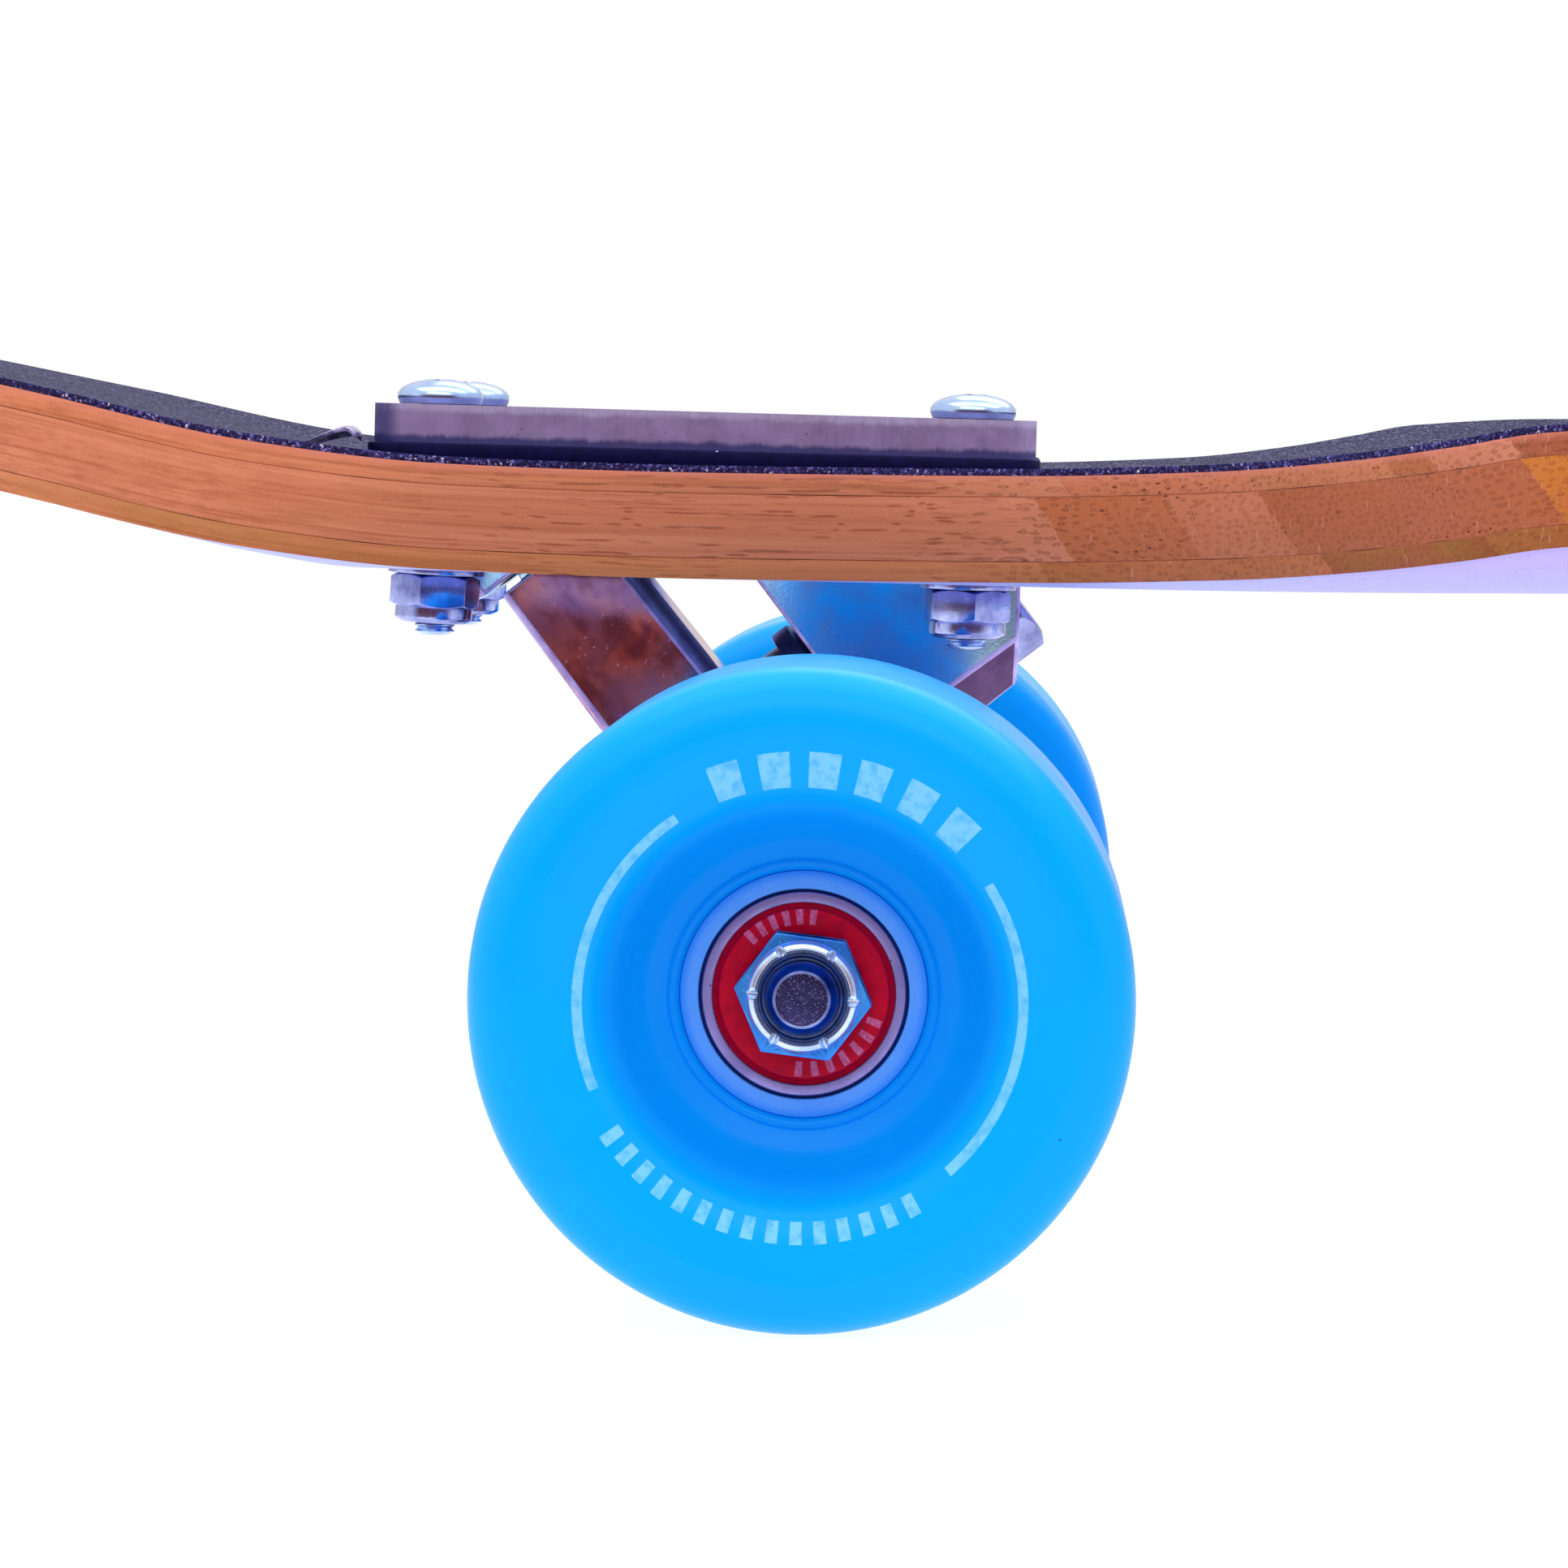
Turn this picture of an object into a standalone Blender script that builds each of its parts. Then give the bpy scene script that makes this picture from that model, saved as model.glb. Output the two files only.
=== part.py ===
# Drop-through longboard skateboard, 40 inches long, with reverse-kingpin trucks.
# Frame: X along the board, Y across, Z up, origin on the ground under its middle.
# Every length below is in millimetres and is turned into metres by MM.
import math
import bpy
import bmesh
from mathutils import Matrix, Vector

MM = 0.001

# ---- driving dimensions -----------------------------------------------------
TRUCK_X = 383.0          # axle's distance from the board's middle
TIP_X = 508.0            # half the board's length
WHEEL_R = 35.0           # wheel radius, and the axle's height above the ground
WHEEL_IN, WHEEL_OUT = 77.0, 128.0   # inner and outer face of a wheel, from the middle
LIP = 5.5                # radius of the wheel's rounded edge
AXLE_R = 3.95            # axle, running in bearings whose bore is 4.00 across the flats
AXLE_END = 121.0
HANGER_HALF = 88.0       # half the hanger's width
BEARING_R, BEARING_BORE, BEARING_W = 10.9, 4.0, 7.0
BEARING_IN, BEARING_OUT = 89.0, 106.0   # inner faces of the two bearings

DECK_T = 12.0            # deck thickness, square to its surface
FLAT_HALF = 31.0         # half width of the deck's flat middle strip
PLATE_X = -14.75         # middle of the bolt pattern, from the axle (nose side is minus)
PLATE_Z = 89.3           # deck's top surface there
PLATE_TILT = math.radians(1.6)
BOLT_DX, BOLT_DY = 31.75, 20.65
BOLT_R, BOLT_HOLE = 2.4, 2.8

STEER = math.radians(37.0)   # the pivot axis leans this far from upright
KP_B = 19.45             # kingpin axis's height above the axle, along the pivot axis
SEAT_A = 17.9            # kingpin seat, from the axle, along the kingpin
KP_R = 4.8
GAP = 0.3                # gap between pieces that touch

# Outline of the deck near one truck: (distance from the axle, half width).
OUTLINE = [(-80, 54.0), (-60, 60.5), (-45, 62.0), (5, 62.0), (18, 63.5), (30, 68.0),
           (45, 78.0), (60, 98.0), (70, 112.0), (80, 119.5), (95, 122.5), (130, 123.5), (383, 123.5)]
NOSE_START, NOSE_LEN = -80.0, 45.0
NOSE_FULL = 0.458        # carries the neck's taper into the round nose without a corner
# Underside of the deck at its rail and at its middle: (distance from the axle, height).
RAIL = [(-125, 94.6), (-94, 87.4), (-66, 81.4), (-43, 78.8), (-10, 77.7), (23, 77.4), (45, 78.0),
        (60, 79.4), (70, 80.9), (79, 82.4), (96, 83.2), (150, 82.6), (283, 82.0), (383, 82.0)]
LINE_Z = PLATE_Z - DECK_T
MID = [(-125, 94.2), (-94, 87.0), (-78, 82.9), (-66, 80.1),
       (-55, LINE_Z + (PLATE_X + 55) * math.tan(PLATE_TILT)),
       (26, LINE_Z + (PLATE_X - 26) * math.tan(PLATE_TILT)),
       (47, 75.75), (87, 75.4), (150, 75.15), (283, 75.0), (383, 75.0)]

# ---- a clean start ------------------------------------------------------------
for item in list(bpy.data.objects):
    bpy.data.objects.remove(item, do_unlink=True)


def material(name, colour, rough, metal=0.0):
    mat = bpy.data.materials.new(name)
    mat.use_nodes = True
    bsdf = mat.node_tree.nodes["Principled BSDF"]
    bsdf.inputs["Base Color"].default_value = (*colour, 1.0)
    bsdf.inputs["Roughness"].default_value = rough
    bsdf.inputs["Metallic"].default_value = metal
    mat.diffuse_color = (*colour, 1.0)
    return mat


BAMBOO = material("bamboo", (0.56, 0.24, 0.10), 0.45)
GRIT = material("grip_grit", (0.02, 0.02, 0.06), 0.9)
PAD = material("pad_rubber", (0.01, 0.01, 0.04), 0.6)
CAST = material("truck_cast", (0.42, 0.40, 0.50), 0.3, 1.0)
ZINC = material("zinc_steel", (0.62, 0.66, 0.75), 0.25, 1.0)
DARK = material("dark_steel", (0.06, 0.06, 0.10), 0.4, 1.0)
STEEL = material("bearing_steel", (0.55, 0.50, 0.62), 0.25, 1.0)
SHIELD = material("bearing_shield", (0.50, 0.0, 0.03), 0.35)
BLUE = material("urethane_blue", (0.0, 0.38, 1.0), 0.25)
CORE = material("core_pale", (0.16, 0.35, 1.0), 0.35)
BLACK = material("bushing_black", (0.01, 0.01, 0.02), 0.4)


def finish(name, bm, mat, parent=None, smooth=True):
    bmesh.ops.remove_doubles(bm, verts=bm.verts[:], dist=1e-7)
    bmesh.ops.recalc_face_normals(bm, faces=bm.faces[:])
    mesh = bpy.data.meshes.new(name)
    bm.to_mesh(mesh)
    bm.free()
    mesh.materials.append(mat)
    if smooth:
        mesh.shade_smooth()
        mesh.set_sharp_from_angle(angle=math.radians(32))
    obj = bpy.data.objects.new(name, mesh)
    bpy.context.collection.objects.link(obj)
    obj.parent = parent
    return obj


def copy_of(obj, name, parent):
    twin = bpy.data.objects.new(name, obj.data)
    bpy.context.collection.objects.link(twin)
    twin.parent = parent
    return twin


def empty(name, loc, rot=(0, 0, 0), parent=None):
    obj = bpy.data.objects.new(name, None)
    bpy.context.collection.objects.link(obj)
    obj.location = Vector(loc) * MM
    obj.rotation_euler = rot
    obj.parent = parent
    return obj


def hide(obj):
    obj.hide_render = True
    obj.display_type = "WIRE"
    return obj


def boolean(obj, other, operation):
    mod = obj.modifiers.new(operation.lower(), "BOOLEAN")
    mod.operation = operation
    mod.solver = "EXACT"
    mod.object = hide(other)


# ---- shape makers: each returns a bmesh in metres ----------------------------
# A turned shape about local Z. A profile of (radius, height) runs down the outer
# side; it closes on itself when every radius is above zero.
def turned(profile, n, phase=0.5):
    bm = bmesh.new()
    rings = []
    for r, h in profile:
        if r <= 0:
            rings.append([bm.verts.new((0, 0, h * MM))])
        else:
            rings.append([bm.verts.new((r * MM * math.cos(2 * math.pi * (k + phase) / n),
                                        r * MM * math.sin(2 * math.pi * (k + phase) / n),
                                        h * MM)) for k in range(n)])
    pairs = list(zip(rings[:-1], rings[1:]))
    if profile[0][0] > 0:
        pairs.append((rings[-1], rings[0]))
    for top, low in pairs:
        for k in range(n):
            m = (k + 1) % n
            if len(top) == 1:
                bm.faces.new((top[0], low[k], low[m]))
            elif len(low) == 1:
                bm.faces.new((top[m], top[k], low[0]))
            else:
                bm.faces.new((top[k], low[k], low[m], top[m]))
    return bm


def turn_to(bm, axis):
    """Lay a shape turned about Z along local X or Y."""
    rot = {"X": Matrix.Rotation(math.radians(90), 4, "Y"),
           "Y": Matrix.Rotation(math.radians(-90), 4, "X")}[axis]
    bmesh.ops.transform(bm, matrix=rot, verts=bm.verts[:])
    return bm


def moved(bm, x=0, y=0, z=0):
    bmesh.ops.translate(bm, vec=Vector((x, y, z)) * MM, verts=bm.verts[:])
    return bm


def cylinder(r, low, high, n, phase=0.5):
    return turned([(0, high), (r, high), (r, low), (0, low)], n, phase)


def tube(r, bore, low, high, n):
    return turned([(bore, high), (r, high), (r, low), (bore, low)], n)


def hull(points):
    bm = bmesh.new()
    for p in points:
        bm.verts.new(Vector(p) * MM)
    bmesh.ops.convex_hull(bm, input=bm.verts[:])
    bmesh.ops.dissolve_limit(bm, angle_limit=0.001, verts=bm.verts[:], edges=bm.edges[:])
    return bm


def slab(x0, x1, half_y, z0, z1, corner, steps=3):
    """A plate with rounded upright corners."""
    points = []
    for sx, sy, start in ((1, 1, 0), (-1, 1, 90), (-1, -1, 180), (1, -1, 270)):
        cx = (x1 - corner) if sx > 0 else (x0 + corner)
        cy = sy * (half_y - corner)
        for k in range(steps + 1):
            a = math.radians(start + 90 * k / steps)
            points.append((cx + corner * math.cos(a), cy + corner * math.sin(a)))
    bm = bmesh.new()
    low = [bm.verts.new((x * MM, y * MM, z0 * MM)) for x, y in points]
    top = [bm.verts.new((x * MM, y * MM, z1 * MM)) for x, y in points]
    bm.faces.new(low[::-1])
    bm.faces.new(top)
    for k in range(len(points)):
        m = (k + 1) % len(points)
        bm.faces.new((low[k], low[m], top[m], top[k]))
    return bm


# ---- smooth curve through a table (monotone cubic) ---------------------------
def curve(table, x):
    xs = [p[0] for p in table]
    ys = [p[1] for p in table]
    if x <= xs[0]:
        return ys[0]
    if x >= xs[-1]:
        return ys[-1]
    n = len(xs)
    d = [(ys[i + 1] - ys[i]) / (xs[i + 1] - xs[i]) for i in range(n - 1)]
    m = [d[0]] + [0.0] * (n - 2) + [d[-1]]
    for i in range(1, n - 1):
        if d[i - 1] * d[i] > 0:
            w1 = 2 * (xs[i + 1] - xs[i]) + (xs[i] - xs[i - 1])
            w2 = (xs[i + 1] - xs[i]) + 2 * (xs[i] - xs[i - 1])
            m[i] = (w1 + w2) / (w1 / d[i - 1] + w2 / d[i])
    i = max(k for k in range(n - 1) if xs[k] <= x)
    h = xs[i + 1] - xs[i]
    t = (x - xs[i]) / h
    return ((2 * t ** 3 - 3 * t ** 2 + 1) * ys[i] + (t ** 3 - 2 * t ** 2 + t) * h * m[i]
            + (-2 * t ** 3 + 3 * t ** 2) * ys[i + 1] + (t ** 3 - t ** 2) * h * m[i + 1])


def half_width(x):
    if x < NOSE_START:
        s = min(1.0, (NOSE_START - x) / NOSE_LEN)
        return OUTLINE[0][1] * math.sqrt(max(0.0, (1 - s) * (1 + NOSE_FULL * s)))
    return curve(OUTLINE, x)


def middle_z(x):
    if -55 <= x <= 26:
        return LINE_Z + (PLATE_X - x) * math.tan(PLATE_TILT)
    return curve(MID, x)


def under_z(x, y, w):
    rise = curve(RAIL, x) - middle_z(x)
    t = max(0.0, (abs(y) - FLAT_HALF) / max(w - FLAT_HALF, 20.0))
    return middle_z(x) + rise * min(1.0, t) ** 1.7


def slope_factor(x):
    s = (curve(RAIL, x + 1) - curve(RAIL, x - 1)) / 2.0
    return math.sqrt(1 + s * s)


# A closed board-shaped sheet between two heights above the deck's underside.
def board_sheet(low, high, inset):
    nose = [NOSE_START - NOSE_LEN * math.sin(math.radians(a)) for a in (86, 72, 56, 38, 19)]
    rest = [-80, -66, -55, 26, 36, 45, 53, 60, 66, 72, 80, 95, 150, 283]
    half = [(x, half_width(x) - inset) for x in nose + rest]
    if inset:
        half[0] = (half[0][0] + inset, half[0][1] + inset * 0.5)
    stations = [(x - TRUCK_X, x, w) for x, w in half]
    stations += [(TRUCK_X - x, x, w) for x, w in reversed(half)]
    bm = bmesh.new()
    rows = []
    for world_x, x, w in stations:
        m = min(FLAT_HALF, 0.5 * w)
        ys = [m, m + (w - m) * 0.36, m + (w - m) * 0.70, w]
        ys = [-v for v in reversed(ys)] + ys
        k = slope_factor(x)
        row = []
        for y in ys:
            z = under_z(x, y, half_width(x))
            row.append((bm.verts.new((world_x * MM, y * MM, (z + low * k) * MM)),
                        bm.verts.new((world_x * MM, y * MM, (z + high * k) * MM))))
        rows.append(row)
    for a, b in zip(rows[:-1], rows[1:]):
        for j in range(len(a) - 1):
            bm.faces.new((a[j][0], a[j + 1][0], b[j + 1][0], b[j][0]))
            bm.faces.new((a[j][1], b[j][1], b[j + 1][1], a[j + 1][1]))
        bm.faces.new((a[0][0], b[0][0], b[0][1], a[0][1]))
        bm.faces.new((a[-1][0], a[-1][1], b[-1][1], b[-1][0]))
    for row in (rows[0], rows[-1]):
        for j in range(len(row) - 1):
            bm.faces.new((row[j][0], row[j][1], row[j + 1][1], row[j + 1][0]))
    return bm


deck = finish("deck", board_sheet(0.0, DECK_T, 0.0), BAMBOO)
grip = finish("grip_tape", board_sheet(DECK_T + GAP, DECK_T + 0.9, 1.2), GRIT)


# ---- one truck with its two wheels -------------------------------------------
def local_to_side(a, b):
    """A point of the steering frame, as (along, up) from the ground under the axle."""
    c, s = math.cos(STEER), math.sin(STEER)
    return (a * c - b * s, WHEEL_R + a * s + b * c)


def wheel_profile():
    mid = (WHEEL_IN + WHEEL_OUT) / 2
    out, inn = WHEEL_OUT - mid, WHEEL_IN - mid
    flats = 1.0 / math.cos(math.pi / 24)
    rim = WHEEL_R * flats
    return mid, [(13.7, 113.2 - mid), (17.2, 114.3 - mid), (21.8, 125.0 - mid), (25.5, out - 0.6),
                 (rim - LIP, out), (rim - LIP * 0.29, out - LIP * 0.29), (rim, out - LIP),
                 (rim, inn + LIP), (rim - LIP * 0.29, inn + LIP * 0.29), (rim - LIP, inn),
                 (22.0, inn + 1.2), (17.2, 88.2 - mid), (13.7, 88.8 - mid),
                 (13.7, 94.0 - mid), (17.2, 95.0 - mid), (17.2, 107.0 - mid), (13.7, 108.0 - mid)]


def build_truck(end, x_world, turn):
    root = empty(end + "_truck", (x_world, 0, 0), (0, 0, turn))
    plate = empty(end + "_plate_frame", (PLATE_X, 0, PLATE_Z), (0, PLATE_TILT, 0), root)
    steer = empty(end + "_steer_axis", (0, 0, WHEEL_R), (0, -STEER, 0), root)

    # drop-through cut-out and bolt holes in the deck and its grip
    slot = finish(end + "_cutout", slab(-35.6, 39.3, 15.2, -20, 5, 2.0), BLACK, plate)
    for sheet in (deck, grip):
        boolean(sheet, slot, "DIFFERENCE")
    holes = []
    for k, (sx, sy) in enumerate(((-1, -1), (1, -1), (-1, 1), (1, 1))):
        hole = finish("%s_hole_%d" % (end, k + 1), cylinder(BOLT_HOLE, -25, 12, 10), BLACK, plate)
        hole.location = (sx * BOLT_DX * MM, sy * BOLT_DY * MM, 0)
        holes.append(hole)
        for sheet in (deck, grip):
            boolean(sheet, hole, "DIFFERENCE")

    # riser pad
    pad = finish(end + "_riser_pad", slab(-39.7, 39.9, 30.0, 1.2, 2.6, 3.0), PAD, plate)
    boolean(pad, slot, "DIFFERENCE")
    for hole in holes:
        boolean(pad, hole, "DIFFERENCE")

    # baseplate: flange, kingpin block and pivot boss in one casting
    base = finish(end + "_baseplate", slab(-39.05, 39.35, 29.0, 2.9, 7.4, 3.2), CAST, plate)
    low_b, edge_b = 9.15, 14.4
    half, low_half = 14.0, 8.6
    seat_low, seat_edge = local_to_side(SEAT_A, low_b), local_to_side(SEAT_A, edge_b)
    end_low, end_edge = (22.4, 64.0), (22.7, 69.6)
    block_points = []
    for sy in (-1, 1):
        block_points += [(seat_low[0], sy * low_half, seat_low[1]), (seat_edge[0], sy * half, seat_edge[1]),
                         (end_low[0], sy * low_half, end_low[1]), (end_edge[0], sy * half, end_edge[1]),
                         (23.4, sy * half, 94.0), (local_to_side(SEAT_A, 60.3)[0], sy * half, 94.0)]
    block = finish(end + "_kingpin_block", hull(block_points), CAST, root)
    corner_l, corner_r = local_to_side(-11.4, 57.0), local_to_side(11.4, 57.0)
    boss_points = []
    for sy in (-1, 1):
        boss_points += [(-47.6, sy * 11.4, 95.0), (-47.6, sy * 11.4, 79.4), (corner_l[0], sy * 11.4, corner_l[1]),
                        (corner_r[0], sy * 11.4, corner_r[1]), (corner_r[0], sy * 11.4, 94.5)]
    boss = finish(end + "_pivot_boss", hull(boss_points), CAST, root)
    boolean(base, block, "UNION")
    boolean(base, boss, "UNION")
    bore = finish(end + "_kingpin_bore", turn_to(cylinder(KP_R + 0.35, SEAT_A - 5, 60, 16), "X"), CAST, steer)
    bore.location = (0, 0, KP_B * MM)
    recess = finish(end + "_head_recess", turn_to(cylinder(8.9, SEAT_A + 17.0, 60, 18), "X"), CAST, steer)
    recess.location = (0, 0, KP_B * MM)
    pocket = finish(end + "_cup_pocket", cylinder(8.3, 50, 68.3, 18), CAST, steer)
    for cutter in [bore, recess, pocket] + holes:
        boolean(base, cutter, "DIFFERENCE")

    # pivot cup: a rubber cup that the hanger's nose turns in
    finish(end + "_pivot_cup", turned([(0, 68.0), (8.0, 68.0), (8.0, 57.6), (6.2, 57.6), (6.2, 64.0), (0, 66.3)], 18),
           BLACK, steer)

    # kingpin, its nut, cup washers and bushings, along local X of the steering frame
    def on_kingpin(name, bm, mat):
        obj = finish(end + name, turn_to(bm, "X"), mat, steer)
        obj.location = (0, 0, KP_B * MM)
        return obj

    kingpin = on_kingpin("_kingpin", cylinder(KP_R, -29.1, SEAT_A + 18, 16), ZINC)
    head = on_kingpin("_kingpin_head", cylinder(8.25, SEAT_A + 17.3, SEAT_A + 23.6, 6, 0.0), ZINC)
    boolean(kingpin, head, "UNION")
    on_kingpin("_kingpin_nut", tube(8.25, KP_R + GAP + 0.8, -27.0, -20.5, 6), ZINC)
    on_kingpin("_washer_boardside", turned([(5.2, SEAT_A - GAP), (12.5, SEAT_A - GAP), (12.5, 14.7),
                                            (11.6, 14.7), (11.3, 15.4), (5.2, 15.4)], 20), DARK)
    on_kingpin("_bushing_boardside", turned([(5.3, 15.1), (10.8, 15.1), (11.0, 12.0), (10.6, 4.3), (5.3, 4.3)], 20), BLACK)
    on_kingpin("_bushing_roadside", turned([(5.3, -5.9), (10.6, -5.9), (11.0, -9.5), (8.4, -17.5), (5.3, -17.5)], 20), BLACK)
    on_kingpin("_washer_roadside", turned([(5.2, -17.8), (9.3, -17.8), (9.6, -17.0), (10.6, -17.0),
                                           (10.6, -20.2), (5.2, -20.2)], 20), DARK)

    # hanger: cross bar, bushing seat ring, pivot stem and nose
    bm = bmesh.new()
    sections = [(-HANGER_HALF, 7.6, 7.6, 0.0), (-66, 8.0, 8.4, 0.4), (-40, 9.0, 11.0, 3.0), (-18, 10.5, 15.0, 7.5),
                (18, 10.5, 15.0, 7.5), (40, 9.0, 11.0, 3.0), (66, 8.0, 8.4, 0.4), (HANGER_HALF, 7.6, 7.6, 0.0)]
    rings = []
    for y, ha, hb, b0 in sections:
        rings.append([bm.verts.new((ha * math.cos(2 * math.pi * (k + 0.5) / 12) * MM, y * MM,
                                    (b0 + hb * math.sin(2 * math.pi * (k + 0.5) / 12)) * MM)) for k in range(12)])
    for p, q in zip(rings[:-1], rings[1:]):
        for k in range(12):
            bm.faces.new((p[k], p[(k + 1) % 12], q[(k + 1) % 12], q[k]))
    bm.faces.new(rings[0])
    bm.faces.new(rings[-1][::-1])
    hanger = finish(end + "_hanger", bm, CAST, steer)
    ring = on_kingpin("_seat_ring", cylinder(16.2, -6.1, 4.5, 24), CAST)
    stem = finish(end + "_stem", hull([(a, sy * 9.0, b) for sy in (-1, 1)
                                       for a, b in ((-8.3, 16), (-8.3, 34), (-8.1, 55.6), (6.2, 55.6), (7.2, 34), (7.4, 16))]),
                  CAST, steer)
    nose = finish(end + "_pivot_nose", turned([(0, 65.3), (3.4, 64.4), (5.2, 62.0), (5.7, 55.0), (5.7, 50.0), (0, 50.0)], 16),
                  CAST, steer)
    for other in (ring, stem, nose):
        boolean(hanger, other, "UNION")
    seat_up = on_kingpin("_seat_up", cylinder(11.7, 4.0, 30, 20), CAST)
    seat_down = on_kingpin("_seat_down", cylinder(11.7, -30, -5.6, 20), CAST)
    ring_bore = on_kingpin("_ring_bore", cylinder(7.25, -12, 12, 18), CAST)
    axle_bore = finish(end + "_axle_bore", turn_to(cylinder(AXLE_R + 0.4, -100, 100, 14), "Y"), CAST, steer)
    for cutter in (seat_up, seat_down, ring_bore, axle_bore):
        boolean(hanger, cutter, "DIFFERENCE")

    # axle, right through the hanger
    finish(end + "_axle", turn_to(turned([(0, AXLE_END), (2.9, AXLE_END), (AXLE_R, AXLE_END - 1.2),
                                          (AXLE_R, 1.2 - AXLE_END), (2.9, -AXLE_END), (0, -AXLE_END)], 24), "Y"), ZINC, steer)

    # mounting bolts and their lock nuts
    for k, (sx, sy) in enumerate(((-1, -1), (1, -1), (-1, 1), (1, 1))):
        at = (sx * BOLT_DX * MM, sy * BOLT_DY * MM, 0)
        bolt = finish("%s_bolt_%d" % (end, k + 1), turned([(0, 10.3), (2.6, 10.0), (4.7, 9.0), (5.1, 8.3), (4.9, 7.7),
                                                           (BOLT_R, 7.7), (BOLT_R, -20.0), (0, -20.0)], 12), ZINC, plate)
        bolt.location = at
        nut = finish("%s_bolt_nut_%d" % (end, k + 1), cylinder(5.4, -16.6, -12.4, 6), ZINC, plate)
        nut.location = at
        collar = finish("%s_collar_%d" % (end, k + 1), cylinder(4.6, -18.5, -16.4, 12), ZINC, plate)
        collar.location = at
        nut_bore = finish("%s_nut_bore_%d" % (end, k + 1), cylinder(BOLT_HOLE, -22, -10, 10), ZINC, plate)
        nut_bore.location = at
        boolean(nut, collar, "UNION")
        boolean(nut, nut_bore, "DIFFERENCE")

    # wheels: urethane tyre, core, two bearings, and the axle nut that keeps them on
    mid, profile = wheel_profile()
    for side, sign in (("right", -1), ("left", 1)):
        if turn:
            side = {"right": "left", "left": "right"}[side]
        hub = empty("%s_%s_wheel" % (end, side), (0, sign * mid, WHEEL_R),
                    (math.radians(-90 * sign), 0, 0), root)
        tag = "%s_%s_" % (end, side)
        finish(tag + "tyre", turned(profile, 24), BLUE, hub)
        finish(tag + "core", turned([(11.25, 113.4 - mid), (13.1, 113.4 - mid), (13.3, 107.8 - mid), (16.8, 106.6 - mid),
                                     (16.8, 95.4 - mid), (13.3, 94.2 - mid), (13.1, 88.8 - mid), (11.25, 88.8 - mid),
                                     (11.25, 96.3 - mid), (9.4, 96.3 - mid), (9.4, 105.7 - mid), (11.25, 105.7 - mid)], 24),
               CORE, hub)
        bore_r = BEARING_BORE / math.cos(math.pi / 24)
        for place, start in (("bearing_inboard", BEARING_IN), ("bearing_outboard", BEARING_OUT)):
            finish(tag + place, tube(BEARING_R, bore_r, start - mid, start + BEARING_W - mid, 24), STEEL, hub)
        nut = finish(tag + "axle_nut", tube(7.0, AXLE_R + 1.0, 0, 5.0, 6), ZINC, hub)
        nut.location = (0, 0, (113.4 - mid) * MM)


build_truck("front", -TRUCK_X, 0.0)
build_truck("rear", TRUCK_X, math.pi)
bpy.context.view_layer.update()
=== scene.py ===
import math
import random

import bmesh
import bpy
from mathutils import Matrix, Vector


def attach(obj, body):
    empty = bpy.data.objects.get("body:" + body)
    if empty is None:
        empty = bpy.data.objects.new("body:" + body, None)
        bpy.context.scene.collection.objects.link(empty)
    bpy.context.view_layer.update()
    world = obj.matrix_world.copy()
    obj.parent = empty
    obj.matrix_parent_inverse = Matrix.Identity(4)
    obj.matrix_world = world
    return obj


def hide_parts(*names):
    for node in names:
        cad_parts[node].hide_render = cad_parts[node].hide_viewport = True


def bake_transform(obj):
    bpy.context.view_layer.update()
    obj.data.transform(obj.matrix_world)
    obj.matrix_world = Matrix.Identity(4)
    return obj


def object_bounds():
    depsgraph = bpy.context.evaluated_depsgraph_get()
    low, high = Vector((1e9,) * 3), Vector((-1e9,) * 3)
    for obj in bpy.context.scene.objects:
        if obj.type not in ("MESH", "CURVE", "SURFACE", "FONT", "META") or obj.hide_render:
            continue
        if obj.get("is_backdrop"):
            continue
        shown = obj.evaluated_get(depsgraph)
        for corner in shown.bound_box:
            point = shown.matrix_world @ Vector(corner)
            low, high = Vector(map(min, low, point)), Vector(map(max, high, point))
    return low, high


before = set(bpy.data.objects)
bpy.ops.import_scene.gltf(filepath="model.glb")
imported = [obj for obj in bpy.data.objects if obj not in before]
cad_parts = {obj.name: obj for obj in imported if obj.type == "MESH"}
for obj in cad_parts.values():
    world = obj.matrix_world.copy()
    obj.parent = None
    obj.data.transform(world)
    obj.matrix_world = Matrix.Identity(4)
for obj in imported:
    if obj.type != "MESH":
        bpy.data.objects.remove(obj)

MM = 0.001
cad_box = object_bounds()
random.seed(7)

# ---- the sizes that the frame was built to (millimetres) ----------------------
TRUCK_X, TIP_X, WHEEL_R = 383.0, 508.0, 35.0
WHEEL_IN, WHEEL_OUT, HANGER_HALF, AXLE_END = 77.0, 128.0, 88.0, 121.0
WHEEL_MID = (WHEEL_IN + WHEEL_OUT) / 2
DECK_T, FLAT_HALF = 12.0, 31.0
PLATE_X, PLATE_Z, PLATE_TILT = -14.75, 89.3, math.radians(1.6)
BOLT_DX, BOLT_DY, BOLT_R = 31.75, 20.65, 2.4
STEER, KP_B, SEAT_A, KP_R = math.radians(37.0), 19.45, 17.9, 4.8
OUTLINE = [(-80, 54.0), (-60, 60.5), (-45, 62.0), (5, 62.0), (18, 63.5), (30, 68.0),
           (45, 78.0), (60, 98.0), (70, 112.0), (80, 119.5), (95, 122.5), (130, 123.5), (383, 123.5)]
NOSE_START, NOSE_LEN, NOSE_FULL = -80.0, 45.0, 0.458
RAIL = [(-125, 94.6), (-94, 87.4), (-66, 81.4), (-43, 78.8), (-10, 77.7), (23, 77.4), (45, 78.0),
        (60, 79.4), (70, 80.9), (79, 82.4), (96, 83.2), (150, 82.6), (283, 82.0), (383, 82.0)]
LINE_Z = PLATE_Z - DECK_T
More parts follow.
